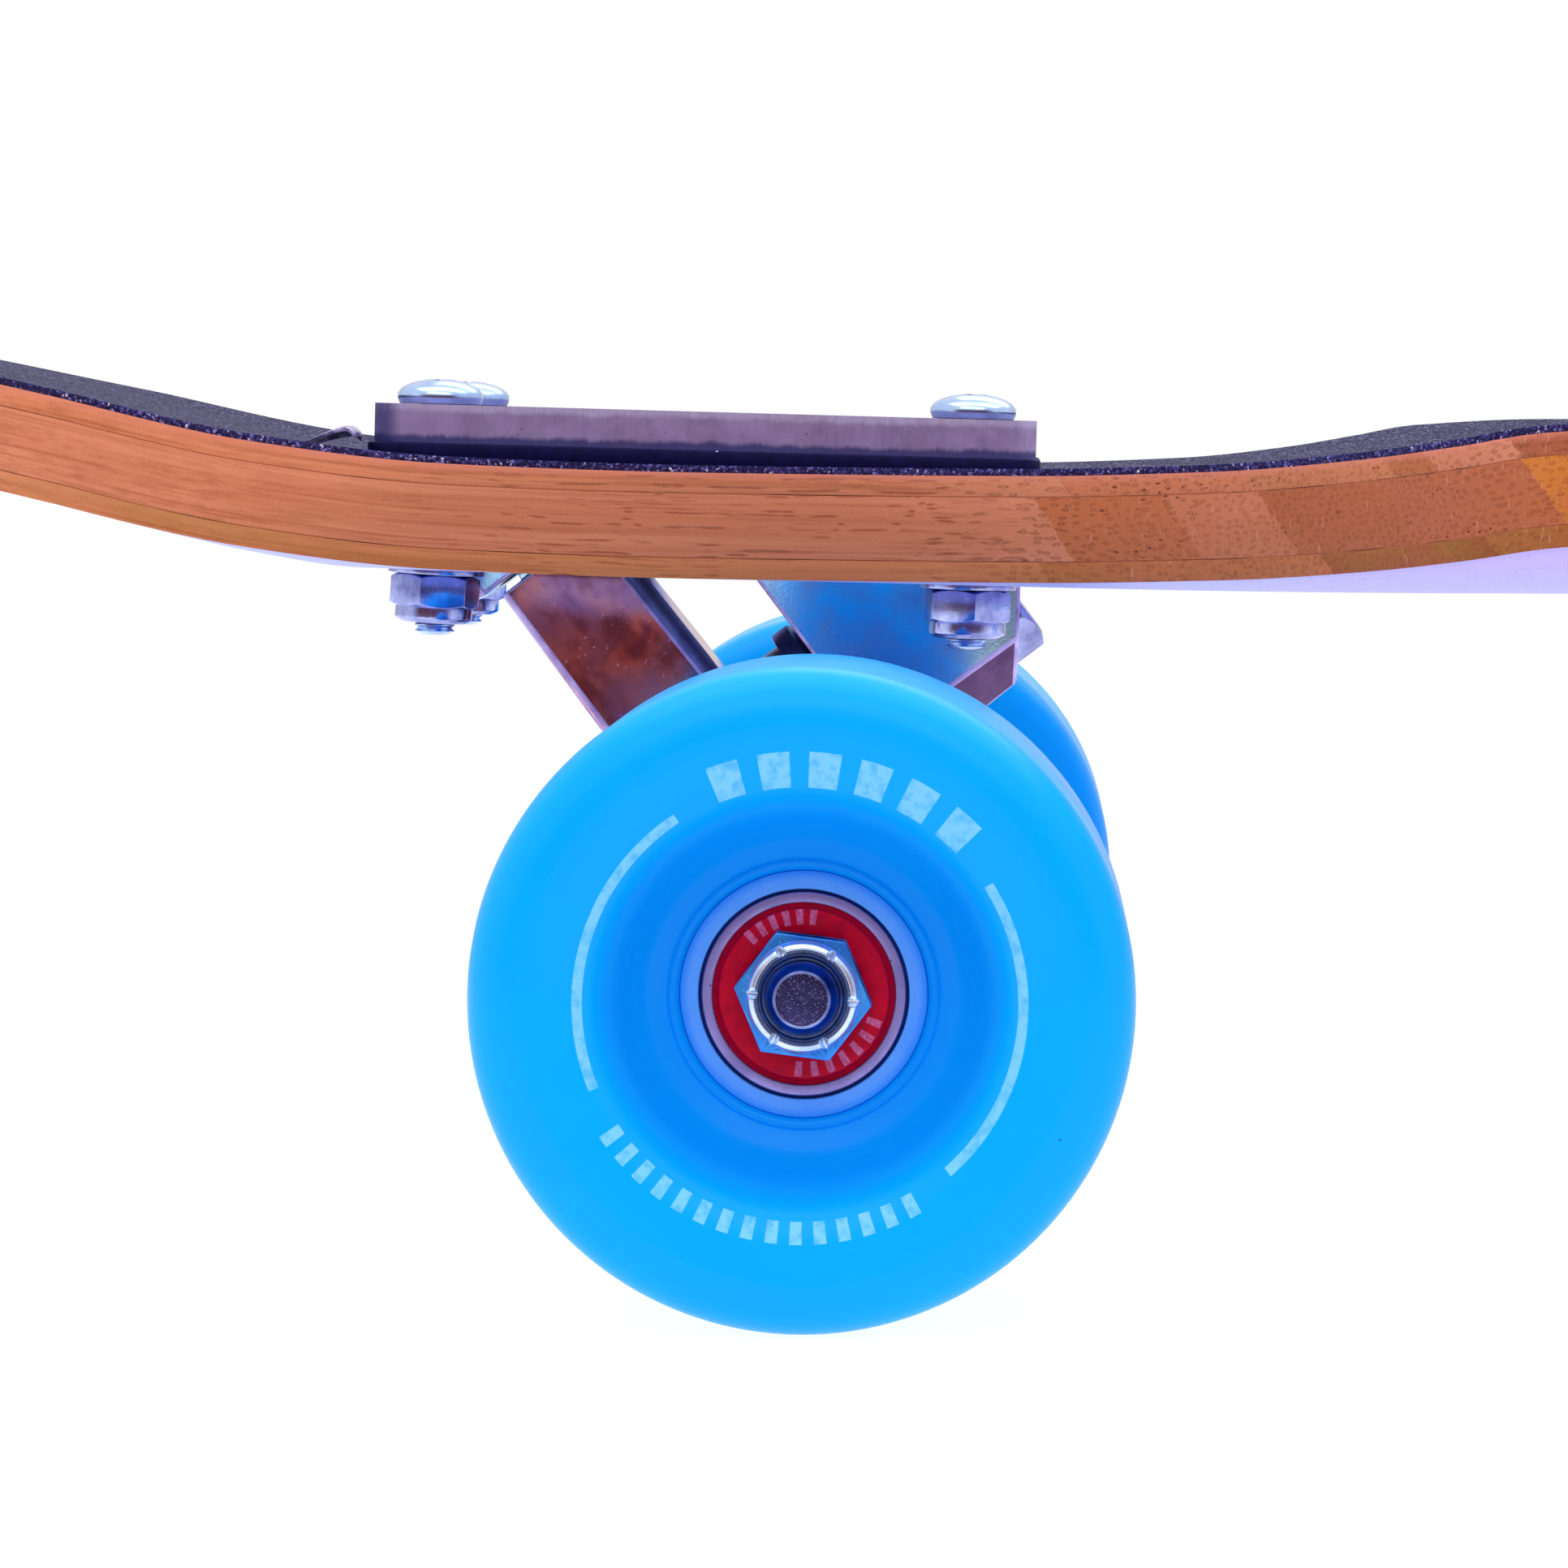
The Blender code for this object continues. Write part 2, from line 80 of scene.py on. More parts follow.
MID = [(-125, 94.2), (-94, 87.0), (-78, 82.9), (-66, 80.1),
       (-55, LINE_Z + (PLATE_X + 55) * math.tan(PLATE_TILT)),
       (26, LINE_Z + (PLATE_X - 26) * math.tan(PLATE_TILT)),
       (47, 75.75), (87, 75.4), (150, 75.15), (283, 75.0), (383, 75.0)]


def curve(table, x):
    xs = [p[0] for p in table]
    ys = [p[1] for p in table]
    if x <= xs[0]:
        return ys[0]
    if x >= xs[-1]:
        return ys[-1]
    n = len(xs)
    d = [(ys[i + 1] - ys[i]) / (xs[i + 1] - xs[i]) for i in range(n - 1)]
    m = [d[0]] + [0.0] * (n - 2) + [d[-1]]
    for i in range(1, n - 1):
        if d[i - 1] * d[i] > 0:
            w1 = 2 * (xs[i + 1] - xs[i]) + (xs[i] - xs[i - 1])
            w2 = (xs[i + 1] - xs[i]) + 2 * (xs[i] - xs[i - 1])
            m[i] = (w1 + w2) / (w1 / d[i - 1] + w2 / d[i])
    i = max(k for k in range(n - 1) if xs[k] <= x)
    h = xs[i + 1] - xs[i]
    t = (x - xs[i]) / h
    return ((2 * t ** 3 - 3 * t ** 2 + 1) * ys[i] + (t ** 3 - 2 * t ** 2 + t) * h * m[i]
            + (-2 * t ** 3 + 3 * t ** 2) * ys[i + 1] + (t ** 3 - t ** 2) * h * m[i + 1])


def half_width(x):
    if x < NOSE_START:
        s = min(1.0, (NOSE_START - x) / NOSE_LEN)
        return OUTLINE[0][1] * math.sqrt(max(0.0, (1 - s) * (1 + NOSE_FULL * s)))
    return curve(OUTLINE, x)


def middle_z(x):
    if -55 <= x <= 26:
        return LINE_Z + (PLATE_X - x) * math.tan(PLATE_TILT)
    return curve(MID, x)


def under_z(x, y, w):
    rise = curve(RAIL, x) - middle_z(x)
    t = max(0.0, (abs(y) - FLAT_HALF) / max(w - FLAT_HALF, 20.0))
    return middle_z(x) + rise * min(1.0, t) ** 1.7


def slope_factor(x):
    s = (curve(RAIL, x + 1) - curve(RAIL, x - 1)) / 2.0
    return math.sqrt(1 + s * s)


# ---- node helpers ---------------------------------------------------------------
def srgb(r, g, b):
    def lin(c):
        c /= 255.0
        return c / 12.92 if c <= 0.04045 else ((c + 0.055) / 1.055) ** 2.4
    return (lin(r), lin(g), lin(b), 1.0)


class Mat:
    def __init__(self, name, color, rough=0.5, metal=0.0, **sockets):
        self.m = bpy.data.materials.new(name)
        self.m.use_nodes = True
        self.nt = self.m.node_tree
        self.b = self.nt.nodes["Principled BSDF"]
        self.b.inputs["Base Color"].default_value = color
        self.b.inputs["Roughness"].default_value = rough
        self.b.inputs["Metallic"].default_value = metal
        for key, value in sockets.items():
            self.b.inputs[key.replace("_", " ")].default_value = value

    def put(self, socket, value):
        if isinstance(value, bpy.types.NodeSocket):
            self.nt.links.new(value, socket)
        else:
            socket.default_value = value

    def new(self, kind, **props):
        n = self.nt.nodes.new(kind)
        for k, v in props.items():
            setattr(n, k, v)
        return n

    def coord(self, scale=(1, 1, 1), shift=(0, 0, 0), source="Object"):
        if source == "grain":
            tc = self.new("ShaderNodeAttribute", attribute_type="GEOMETRY", attribute_name="grain")
            source = "Vector"
        else:
            tc = self.new("ShaderNodeTexCoord")
        mp = self.new("ShaderNodeMapping")
        mp.inputs["Scale"].default_value = scale
        mp.inputs["Location"].default_value = shift
        self.nt.links.new(tc.outputs[source], mp.inputs["Vector"])
        return mp.outputs["Vector"]

    def noise(self, vec, scale=1.0, detail=3.0, rough=0.55, distortion=0.0):
        n = self.new("ShaderNodeTexNoise")
        n.inputs["Scale"].default_value = scale
        n.inputs["Detail"].default_value = detail
        n.inputs["Roughness"].default_value = rough
        n.inputs["Distortion"].default_value = distortion
        self.nt.links.new(vec, n.inputs["Vector"])
        return n.outputs["Fac"]

    def voronoi(self, vec, scale=1.0, feature="F1", out="Distance", randomness=1.0):
        n = self.new("ShaderNodeTexVoronoi", feature=feature)
        n.inputs["Scale"].default_value = scale
        n.inputs["Randomness"].default_value = randomness
        self.nt.links.new(vec, n.inputs["Vector"])
        return n.outputs[out]

    def ramp(self, fac, stops, interp="LINEAR"):
        n = self.new("ShaderNodeValToRGB")
        n.color_ramp.interpolation = interp
        els = n.color_ramp.elements
        els[0].position, els[0].color = stops[0]
        els[1].position, els[1].color = stops[-1]
        for pos, col in stops[1:-1]:
            e = els.new(pos)
            e.color = col
        self.put(n.inputs["Fac"], fac)
        return n.outputs["Color"]

    def grey(self, fac, stops, interp="LINEAR"):
        return self.ramp(fac, [(p, (v, v, v, 1)) for p, v in stops], interp)

    def math(self, op, a, b=0.0, c=None, clamp=False):
        n = self.new("ShaderNodeMath", operation=op)
        n.use_clamp = clamp
        self.put(n.inputs[0], a)
        self.put(n.inputs[1], b)
        if c is not None:
            self.put(n.inputs[2], c)
        return n.outputs[0]

    def mix(self, fac, a, b, blend="MIX"):
        n = self.new("ShaderNodeMix", data_type="RGBA", blend_type=blend)
        self.put(n.inputs[0], fac)
        self.put(n.inputs[6], a)
        self.put(n.inputs[7], b)
        return n.outputs[2]

    def xyz(self, vec):
        n = self.new("ShaderNodeSeparateXYZ")
        self.nt.links.new(vec, n.inputs[0])
        return n.outputs

    def color(self, socket):
        self.put(self.b.inputs["Base Color"], socket)

    def rough(self, socket):
        self.put(self.b.inputs["Roughness"], socket)

    def bump(self, height, strength=0.3, distance=0.0002):
        n = self.new("ShaderNodeBump")
        n.inputs["Strength"].default_value = strength
        n.inputs["Distance"].default_value = distance
        self.nt.links.new(height, n.inputs["Height"])
        last = self.b.inputs["Normal"]
        if last.is_linked:
            self.nt.links.new(last.links[0].from_socket, n.inputs["Normal"])
        self.nt.links.new(n.outputs["Normal"], last)


# ---- materials ------------------------------------------------------------------
def make_urethane(name, printed):
    """Cast blue urethane: faint mottling, turning lines in the dish, pale printed arcs and dashes."""
    k = Mat(name, srgb(0, 168, 255), 0.3, Specular_IOR_Level=0.1)
    k.b.inputs["Subsurface Weight"].default_value = 0.1
    k.b.inputs["Subsurface Radius"].default_value = (0.2, 0.6, 1.0)
    k.b.inputs["Subsurface Scale"].default_value = 0.002
    vec = k.coord()
    x, y, z = k.xyz(vec)
    r = k.math("SQRT", k.math("ADD", k.math("POWER", x, 2.0), k.math("POWER", y, 2.0)))
    mottle = k.noise(k.coord((40, 40, 40)), 1.0, 3)
    base = k.mix(mottle, srgb(0, 162, 255), srgb(0, 172, 255))
    # deeper blue towards the hub, where the wall is thick and shaded
    base = k.mix(k.grey(k.math("MULTIPLY", r, 20.0), [(0.27, 1), (0.44, 0)]), base, srgb(0, 150, 250))
    specks = k.voronoi(k.coord((420, 420, 420)), 1.0)
    keep = k.math("GREATER_THAN", k.noise(k.coord((300, 300, 300), (4, 2, 1)), 1.0, 1), 0.74)
    spot = k.math("MULTIPLY", k.math("LESS_THAN", specks, 0.09), keep)
    base = k.mix(k.math("MULTIPLY", spot, 0.55), base, srgb(0, 70, 160))
    if printed:
        ang = k.math("MULTIPLY", k.math("ARCTAN2", y, x), 180 / math.pi)      # -180..180
        front = k.math("GREATER_THAN", z, 0.012)
        def ring(r0, r1):
            return k.math("MULTIPLY", k.math("GREATER_THAN", r, r0 * MM), k.math("LESS_THAN", r, r1 * MM))
        def sector(mid, half):
            # the angle's distance from mid, wrapped
            d = k.math("WRAP", k.math("SUBTRACT", ang, mid), 180.0, -180.0)
            return k.math("LESS_THAN", k.math("ABSOLUTE", d), half)
        arcs = k.math("MAXIMUM", sector(163.0, 39.5), sector(-8.0, 40.5))
        mark = k.math("MULTIPLY", arcs, ring(22.7, 23.75))
        def dashes(mid, half, period, share, r0, r1):
            d = k.math("WRAP", k.math("SUBTRACT", ang, mid), 180.0, -180.0)
            inside = k.math("LESS_THAN", k.math("ABSOLUTE", d), half)
            saw = k.math("FRACT", k.math("DIVIDE", k.math("ADD", d, half), period))
            dash = k.math("LESS_THAN", k.math("ABSOLUTE", k.math("SUBTRACT", saw, 0.5)), share / 2)
            return k.math("MULTIPLY", k.math("MULTIPLY", inside, dash), ring(r0, r1))
        mark = k.math("MAXIMUM", mark, dashes(78.0, 36.0, 12.0, 0.62, 22.6, 26.4))
        mark = k.math("MAXIMUM", mark, dashes(-103.0, 45.0, 6.0, 0.5, 22.7, 25.0))
        mark = k.math("MULTIPLY", mark, front)
        wear = k.grey(k.noise(k.coord((900, 900, 900)), 1.0, 2), [(0.3, 0.45), (0.55, 1.0)])
        base = k.mix(k.math("MULTIPLY", k.math("MULTIPLY", mark, wear), 0.9), base, srgb(128, 208, 252))
    k.color(base)
    lines = k.math("SINE", k.math("MULTIPLY", r, 9000.0))
    k.bump(k.math("MULTIPLY", lines, k.grey(k.math("MULTIPLY", r, 20.0), [(0.30, 1), (0.40, 0)])), 0.05, 0.00004)
    k.rough(k.grey(mottle, [(0.3, 0.26), (0.7, 0.36)]))
    k.bump(k.noise(k.coord((1500, 1500, 1500)), 1.0, 2), 0.06, 0.00005)
    return k.m


def make_core():
    """Pale plastic hub; its rim takes on a little of the urethane's blue."""
    k = Mat("core_plastic", srgb(86, 152, 250), 0.42, Specular_IOR_Level=0.14)
    x, y, z = k.xyz(k.coord())
    r = k.math("SQRT", k.math("ADD", k.math("POWER", x, 2.0), k.math("POWER", y, 2.0)))
    grain = k.noise(k.coord((5000, 5000, 5000)), 1.0, 2)
    wide = k.noise(k.coord((160, 160, 160)), 1.0, 2)
    c = k.mix(grain, srgb(84, 158, 250), srgb(104, 176, 255))
    c = k.mix(k.grey(wide, [(0.45, 0), (0.7, 0.35)]), c, srgb(66, 144, 248))
    c = k.mix(k.grey(k.math("MULTIPLY", r, 50.0), [(0.61, 0), (0.655, 0.85)]), c, srgb(0, 140, 250))
    k.color(c)
    k.bump(grain, 0.12, 0.00005)
    return k.m


def make_metal(name, color, rough, streak=None, spots=0.0, tint=None, bump=0.1, strength=0.3, metal=1.0):
    """Plated or cast metal. streak is the scale of brushing; spots adds dark pits."""
    k = Mat(name, color, rough, metal)
    cloud = k.noise(k.coord((220, 220, 220)), 1.0, 4, 0.6)
    c = k.mix(k.grey(cloud, [(0.35, 0), (0.68, strength)]), color, tint or srgb(60, 50, 110))
    if streak:
        lines = k.noise(k.coord(streak), 1.0, 3, 0.6)
        c = k.mix(k.grey(lines, [(0.3, 0.0), (0.7, 0.42)]), c, tuple(v * 0.62 for v in color[:3]) + (1,))
        k.bump(lines, bump, 0.0001)
        k.rough(k.grey(lines, [(0.3, max(0.05, rough - 0.07)), (0.7, rough + 0.1)]))
    else:
        fine = k.noise(k.coord((2600, 2600, 2600)), 1.0, 3)
        k.bump(fine, bump, 0.00006)
        k.rough(k.grey(cloud, [(0.3, max(0.04, rough - 0.06)), (0.7, rough + 0.08)]))
    if spots:
        v = k.voronoi(k.coord((900, 900, 900)), 1.0)
        some = k.math("GREATER_THAN", k.noise(k.coord((500, 500, 500), (3, 1, 2)), 1.0, 1), 0.6)
        spot = k.math("MULTIPLY", k.math("LESS_THAN", v, 0.12), some)
        c = k.mix(k.math("MULTIPLY", spot, spots), c, srgb(40, 25, 60))
    k.color(c)
    return k


PLY_BLOCKS = {
    "core": [(-130, (212, 128, 94)), (22.6, (190, 102, 60)), (38.0, (200, 114, 78)), (48.6, (176, 91, 52)), (60.7, (177, 94, 60)),
             (73.5, (204, 118, 46)), (100.0, (194, 110, 68)), (150.0, (206, 122, 84)), (262.0, (196, 112, 72))],
    "top": [(-130, (218, 130, 90)), (12.0, (224, 138, 98)), (27.0, (216, 124, 84)), (47.0, (206, 122, 80)),
            (61.0, (184, 104, 62)), (66.0, (208, 128, 96)), (74.0, (166, 88, 56)), (98.0, (198, 114, 80)), (170.0, (207, 124, 88))],
    "bottom": [(-130, (208, 126, 86)), (20.0, (188, 104, 64)), (50.0, (158, 80, 44)), (61.0, (142, 58, 28)),
               (66.5, (158, 92, 44)), (75.0, (134, 58, 30)), (95.0, (168, 92, 56)), (190.0, (190, 114, 74))],
}


def bamboo(name, kind):
    """Bamboo with its fibres along the board and its strips butted end to end. The fibre bundles run
    along X: a cut along the grain shows long dashes, a slanted cut short ones, a cut across it rings.
    The "grain" attribute is the point's place with its height counted from the board's underside."""
    k = Mat(name, srgb(196, 115, 86), 0.46, Specular_IOR_Level=0.22)
    shift = {"core": (0, 0, 0), "top": (3, 5, 2), "bottom": (7, 1, 4)}[kind]

    def g(scale, extra=(0, 0, 0)):
        return k.coord(scale, tuple(a + b for a, b in zip(shift, extra)), "grain")

    x, y, z = k.xyz(k.coord(source="grain"))
    geo = k.new("ShaderNodeNewGeometry")
    sep = k.new("ShaderNodeSeparateXYZ")
    k.nt.links.new(geo.outputs["Normal"], sep.inputs[0])
    nx = k.math("ABSOLUTE", sep.outputs[0])
    from_axle = k.math("MULTIPLY", k.math("SUBTRACT", TRUCK_X * MM, k.math("ABSOLUTE", x)), 1000.0)
    neck = k.grey(k.math("DIVIDE", k.math("ADD", from_axle, 130.0), 230.0), [(0.096, 0), (0.130, 1), (0.348, 1), (0.44, 0)])
    plain = k.math("SUBTRACT", 1.0, neck)
    across = k.math("MULTIPLY", k.grey(nx, [(0.16, 0), (0.30, 1)]), plain)
    waver = k.math("MULTIPLY", k.math("SUBTRACT", k.noise(g((60, 300, 900), (4, 4, 4)), 1.0, 2), 0.5), 1.2)
    u = k.math("ADD", k.math("SUBTRACT", from_axle, k.math("MULTIPLY", k.math("SUBTRACT", 0.0096, z), 620.0)), waver)
    def at(v):
        return (v + 130.0) / 520.0
    blocks = k.ramp(k.math("DIVIDE", k.math("ADD", u, 130.0), 520.0),
                    [(at(v), srgb(*c)) for v, c in PLY_BLOCKS[kind]], "CONSTANT")
    deep = {"core": srgb(182, 98, 58), "top": srgb(186, 98, 54), "bottom": srgb(166, 94, 46)}[kind]
    wide = k.noise(g((9, 70, 160)), 1.0, 3, 0.5)
    c = k.mix(k.grey(wide, [(0.35, 0.0), (0.75, 0.6)]), blocks, deep)
    # fine streaks along the fibres, and pale ones between them
    streak = k.noise(g((22, 700, 1500)), 1.0, 4, 0.62)
    c = k.mix(k.math("MULTIPLY", k.grey(streak, [(0.46, 0.0), (0.74, 0.55)]), k.math("SUBTRACT", 1.0, across)), c, srgb(150, 76, 44))
    pale = k.noise(g((12, 300, 700), (5, 0, 0)), 1.0, 3, 0.6)
    c = k.mix(k.math("MULTIPLY", k.grey(pale, [(0.52, 0.0), (0.78, 0.4)]), k.math("SUBTRACT", 1.0, across)), c, srgb(226, 148, 108))
    # the neck's rail is sawn flat along the fibres: long even lines
    even = k.noise(g((13, 50, 1500), (9, 9, 9)), 1.0, 4, 0.6)
    c = k.mix(k.math("MULTIPLY", k.grey(even, [(0.50, 0.0), (0.68, 0.8)]), neck), c, srgb(164, 80, 44))
    soft = k.noise(g((9, 30, 420), (2, 9, 4)), 1.0, 3, 0.5)
    c = k.mix(k.math("MULTIPLY", k.grey(soft, [(0.48, 0.0), (0.72, 0.5)]), neck), c, srgb(228, 146, 110))
    # fibre bundles: a pattern in Y and Z that runs along X and wanders a little, so that the angle of
    # the cut alone makes it rings, ovals or long dashes
    def wander(freq, extra, size):
        n = k.noise(g(freq, extra), 1.0, 2)
        return k.math("MULTIPLY", k.math("SUBTRACT", n, 0.5), size)
    yy = k.math("ADD", y, wander((85, 10, 160), (3, 1, 7), 0.0042))
    zz = k.math("ADD", z, wander((60, 20, 90), (8, 2, 1), 0.0016))
    pair = k.new("ShaderNodeCombineXYZ")
    k.put(pair.inputs[0], yy)
    k.put(pair.inputs[1], zz)
    def bundles(per_mm, shift_z):
        m = k.new("ShaderNodeMapping")
        m.inputs["Scale"].default_value = (per_mm * 1000, per_mm * 1150, 1)
        m.inputs["Location"].default_value = (shift[0], shift[2] + shift_z, 0)
        k.nt.links.new(pair.outputs[0], m.inputs["Vector"])
        v = k.new("ShaderNodeTexVoronoi", voronoi_dimensions="2D")
        v.inputs["Scale"].default_value = 1.0
        v.inputs["Randomness"].default_value = 0.8
        k.nt.links.new(m.outputs[0], v.inputs["Vector"])
        return v.outputs["Distance"]
    near = bundles(1.1, 0.0)
    gate = k.grey(k.noise(g((40, 120, 330), (2, 3, 1)), 1.0, 2), [(0.40, 0.12), (0.54, 1.0)])
    dash = k.math("MULTIPLY", k.math("MULTIPLY", k.grey(near, [(0.12, 1), (0.25, 0)]), gate), k.math("SUBTRACT", 1.0, across))
    fine = bundles(1.9, 4.3)
    fine_gate = k.grey(k.noise(g((70, 160, 420), (7, 5, 6)), 1.0, 2), [(0.46, 0), (0.58, 1.0)])
    thin = k.math("MULTIPLY", k.math("MULTIPLY", k.grey(fine, [(0.10, 1), (0.22, 0)]), fine_gate), k.math("SUBTRACT", 1.0, across))
    faint = k.math("SUBTRACT", 1.0, k.math("MULTIPLY", neck, 0.85))
    dash = k.math("MULTIPLY", dash, faint)
    thin = k.math("MULTIPLY", thin, faint)
    amount = {"core": 0.62, "top": 0.6, "bottom": 0.5}[kind]
    c = k.mix(k.math("MULTIPLY", dash, amount), c, srgb(136, 60, 30))
    c = k.mix(k.math("MULTIPLY", thin, amount * 0.7), c, srgb(140, 66, 34))
    ring = k.grey(near, [(0.09, 0.2), (0.16, 1.0), (0.21, 1.0), (0.28, 0.0)])
    ring = k.math("MAXIMUM", ring, k.math("MULTIPLY", k.grey(fine, [(0.14, 1.0), (0.30, 0.0)]), k.math("MULTIPLY", fine_gate, 0.55)))
    mod = k.grey(k.noise(g((60, 160, 160), (1, 4, 2)), 1.0, 2), [(0.34, 0.45), (0.62, 1.0)])
    c = k.mix(k.math("MULTIPLY", k.math("MULTIPLY", ring, across), k.math("MULTIPLY", mod, 0.62)), c, srgb(112, 48, 24))
    pore = bundles(0.8, 9.1)
    open_at = k.grey(k.noise(g((40, 90, 260), (3, 8, 2)), 1.0, 2), [(0.56, 0), (0.64, 1)])
    c = k.mix(k.math("MULTIPLY", k.math("MULTIPLY", k.grey(pore, [(0.08, 1), (0.15, 0)]), across), k.math("MULTIPLY", open_at, 0.85)), c, srgb(70, 26, 12))
    # light scratches across the end grain
    scr = k.noise(g((2400, 200, 500), (1, 1, 1)), 1.0, 2, 0.5)
    c = k.mix(k.math("MULTIPLY", k.grey(scr, [(0.66, 0), (0.74, 0.35)]), across), c, srgb(222, 160, 140))
    dust = k.noise(g((3000, 3000, 3000)), 1.0, 2)
    c = k.mix(k.grey(dust, [(0.55, 0), (0.75, 0.2)]), c, srgb(225, 150, 115))
    if kind == "bottom":
        stain = k.noise(g((18, 120, 200), (2, 2, 9)), 1.0, 3)
        near_tip = k.grey(k.math("DIVIDE", k.math("ADD", from_axle, 130.0), 230.0), [(0.05, 0.6), (0.4, 0.15), (0.80, 0.08), (0.86, 0.5), (0.90, 0.05)])
        c = k.mix(k.math("MULTIPLY", k.grey(stain, [(0.44, 0), (0.64, 1)]), near_tip), c, srgb(152, 116, 40))
    # painted highlight: the top edge of the top ply is lighter and pinker
    if kind == "top":
        c = k.mix(k.grey(k.math("MULTIPLY", z, 50.0), [(0.555, 0), (0.60, 0.65)]), c, srgb(222, 130, 112))
    # a few knots
    knot = k.voronoi(g((70, 260, 520), (8, 1, 6)), 1.0)
    some = k.math("GREATER_THAN", k.noise(g((34, 60, 130), (6, 6, 1)), 1.0, 1), 0.67)
    c = k.mix(k.math("MULTIPLY", k.math("MULTIPLY", k.grey(knot, [(0.07, 1), (0.15, 0)]), some), 0.8), c, srgb(96, 40, 20))
    k.color(c)
    k.bump(streak, 0.10, 0.0001)
    k.bump(k.math("MULTIPLY", dash, -1.0), 0.3, 0.0001)
    k.rough(k.grey(wide, [(0.3, 0.4), (0.7, 0.54)]))
    return k.m


def make_glue():
    """The joint between two plies: a thin brown line that comes and goes."""
    k = Mat("glue_line", srgb(120, 66, 40), 0.55, Specular_IOR_Level=0.2)
    n = k.noise(k.coord((70, 200, 900), source="grain"), 1.0, 3)
    c = k.mix(k.grey(n, [(0.34, 0), (0.54, 1)]), srgb(96, 46, 24), srgb(182, 104, 72))
    k.color(c)
    k.bump(n, 0.1, 0.0001)
    return k.m


def make_paint():
    """Pale lavender paint of the underside, bluer away from the rail, with fine dark specks."""
    k = Mat("deck_underside_paint", srgb(205, 192, 250), 0.4, Specular_IOR_Level=0.3)
    x, y, z = k.xyz(k.coord())
    away = k.grey(k.math("ABSOLUTE", y), [(0.055, 1), (0.10, 0)])
    c = k.mix(away, srgb(172, 150, 226), srgb(166, 174, 236))
    wide = k.noise(k.coord((14, 30, 30)), 1.0, 4)
    c = k.mix(k.grey(wide, [(0.4, 0), (0.7, 0.4)]), c, srgb(168, 148, 226))
    v = k.voronoi(k.coord((1500, 500, 1500)), 1.0)
    some = k.grey(k.noise(k.coord((300, 100, 300), (3, 1, 2)), 1.0, 2), [(0.44, 0), (0.6, 1)])
    c = k.mix(k.math("MULTIPLY", k.math("MULTIPLY", k.grey(v, [(0.16, 1), (0.34, 0)]), some), 0.8), c, srgb(120, 92, 172))
    big = k.voronoi(k.coord((260, 80, 260), (5, 3, 1)), 1.0)
    c = k.mix(k.math("MULTIPLY", k.grey(big, [(0.03, 1), (0.06, 0)]), 0.85), c, srgb(60, 34, 84))
    k.color(c)
    k.bump(v, 0.08, 0.00006)
    return k.m


def make_grip():
    """Grit on a dark film: small grains, a few of them bright."""
    k = Mat("grip_grit", srgb(52, 46, 92), 0.75, Specular_IOR_Level=0.12)
    v = k.new("ShaderNodeTexVoronoi")
    v.inputs["Scale"].default_value = 1.0
    k.nt.links.new(k.coord((3600, 3600, 3600)), v.inputs["Vector"])
    tone = k.ramp(v.outputs["Color"], [(0.0, srgb(20, 16, 50)), (0.46, srgb(42, 36, 88)), (0.72, srgb(74, 68, 140)), (0.87, srgb(140, 138, 220)), (0.95, srgb(228, 228, 255))])
    wide = k.noise(k.coord((30, 60, 60)), 1.0, 3)
    c = k.mix(k.grey(wide, [(0.35, 0), (0.7, 0.4)]), tone, srgb(34, 28, 74))
    # painted shade: faces that point up or down are darkened, so the flat of the sheet reads darker than its edges
    geo = k.new("ShaderNodeNewGeometry")
    sep = k.new("ShaderNodeSeparateXYZ")
    k.nt.links.new(geo.outputs["Normal"], sep.inputs[0])
    c = k.mix(k.math("MULTIPLY", k.grey(k.math("ABSOLUTE", sep.outputs[2]), [(0.5, 0), (0.85, 1)]), 0.55), c, srgb(14, 11, 38))
    k.color(c)
    k.bump(k.math("SUBTRACT", 1.0, v.outputs["Distance"]), 0.8, 0.0003)
    k.rough(k.grey(v.outputs["Color"], [(0.2, 0.8), (0.9, 0.35)]))
    return k.m


def make_film():
    """The lifted edge of the grip: its glossy film, with pale lavender patches of painted highlight."""
    k = Mat("grip_film", srgb(70, 60, 110), 0.24, Specular_IOR_Level=0.6, Coat_Weight=0.5, Coat_Roughness=0.15)
    n = k.noise(k.coord((500, 900, 500)), 1.0, 3)
    # painted highlight: pale lavender patches on the dark film
    k.color(k.mix(k.grey(n, [(0.4, 0), (0.65, 1)]), srgb(70, 60, 120), srgb(190, 178, 240)))
    k.bump(n, 0.2, 0.0001)
    return k.m


def make_dull(name, a, b, rough, scale, bump=0.1, coat=0.0):
    k = Mat(name, a, rough, Specular_IOR_Level=0.45, Coat_Weight=coat, Coat_Roughness=0.12)
    n = k.noise(k.coord((scale, scale, scale)), 1.0, 4)
    k.color(k.mix(k.grey(n, [(0.35, 0), (0.7, 1)]), a, b))
    k.rough(k.grey(n, [(0.3, max(0.05, rough - 0.08)), (0.7, rough + 0.1)]))
    k.bump(n, bump, 0.0001)
    return k.m


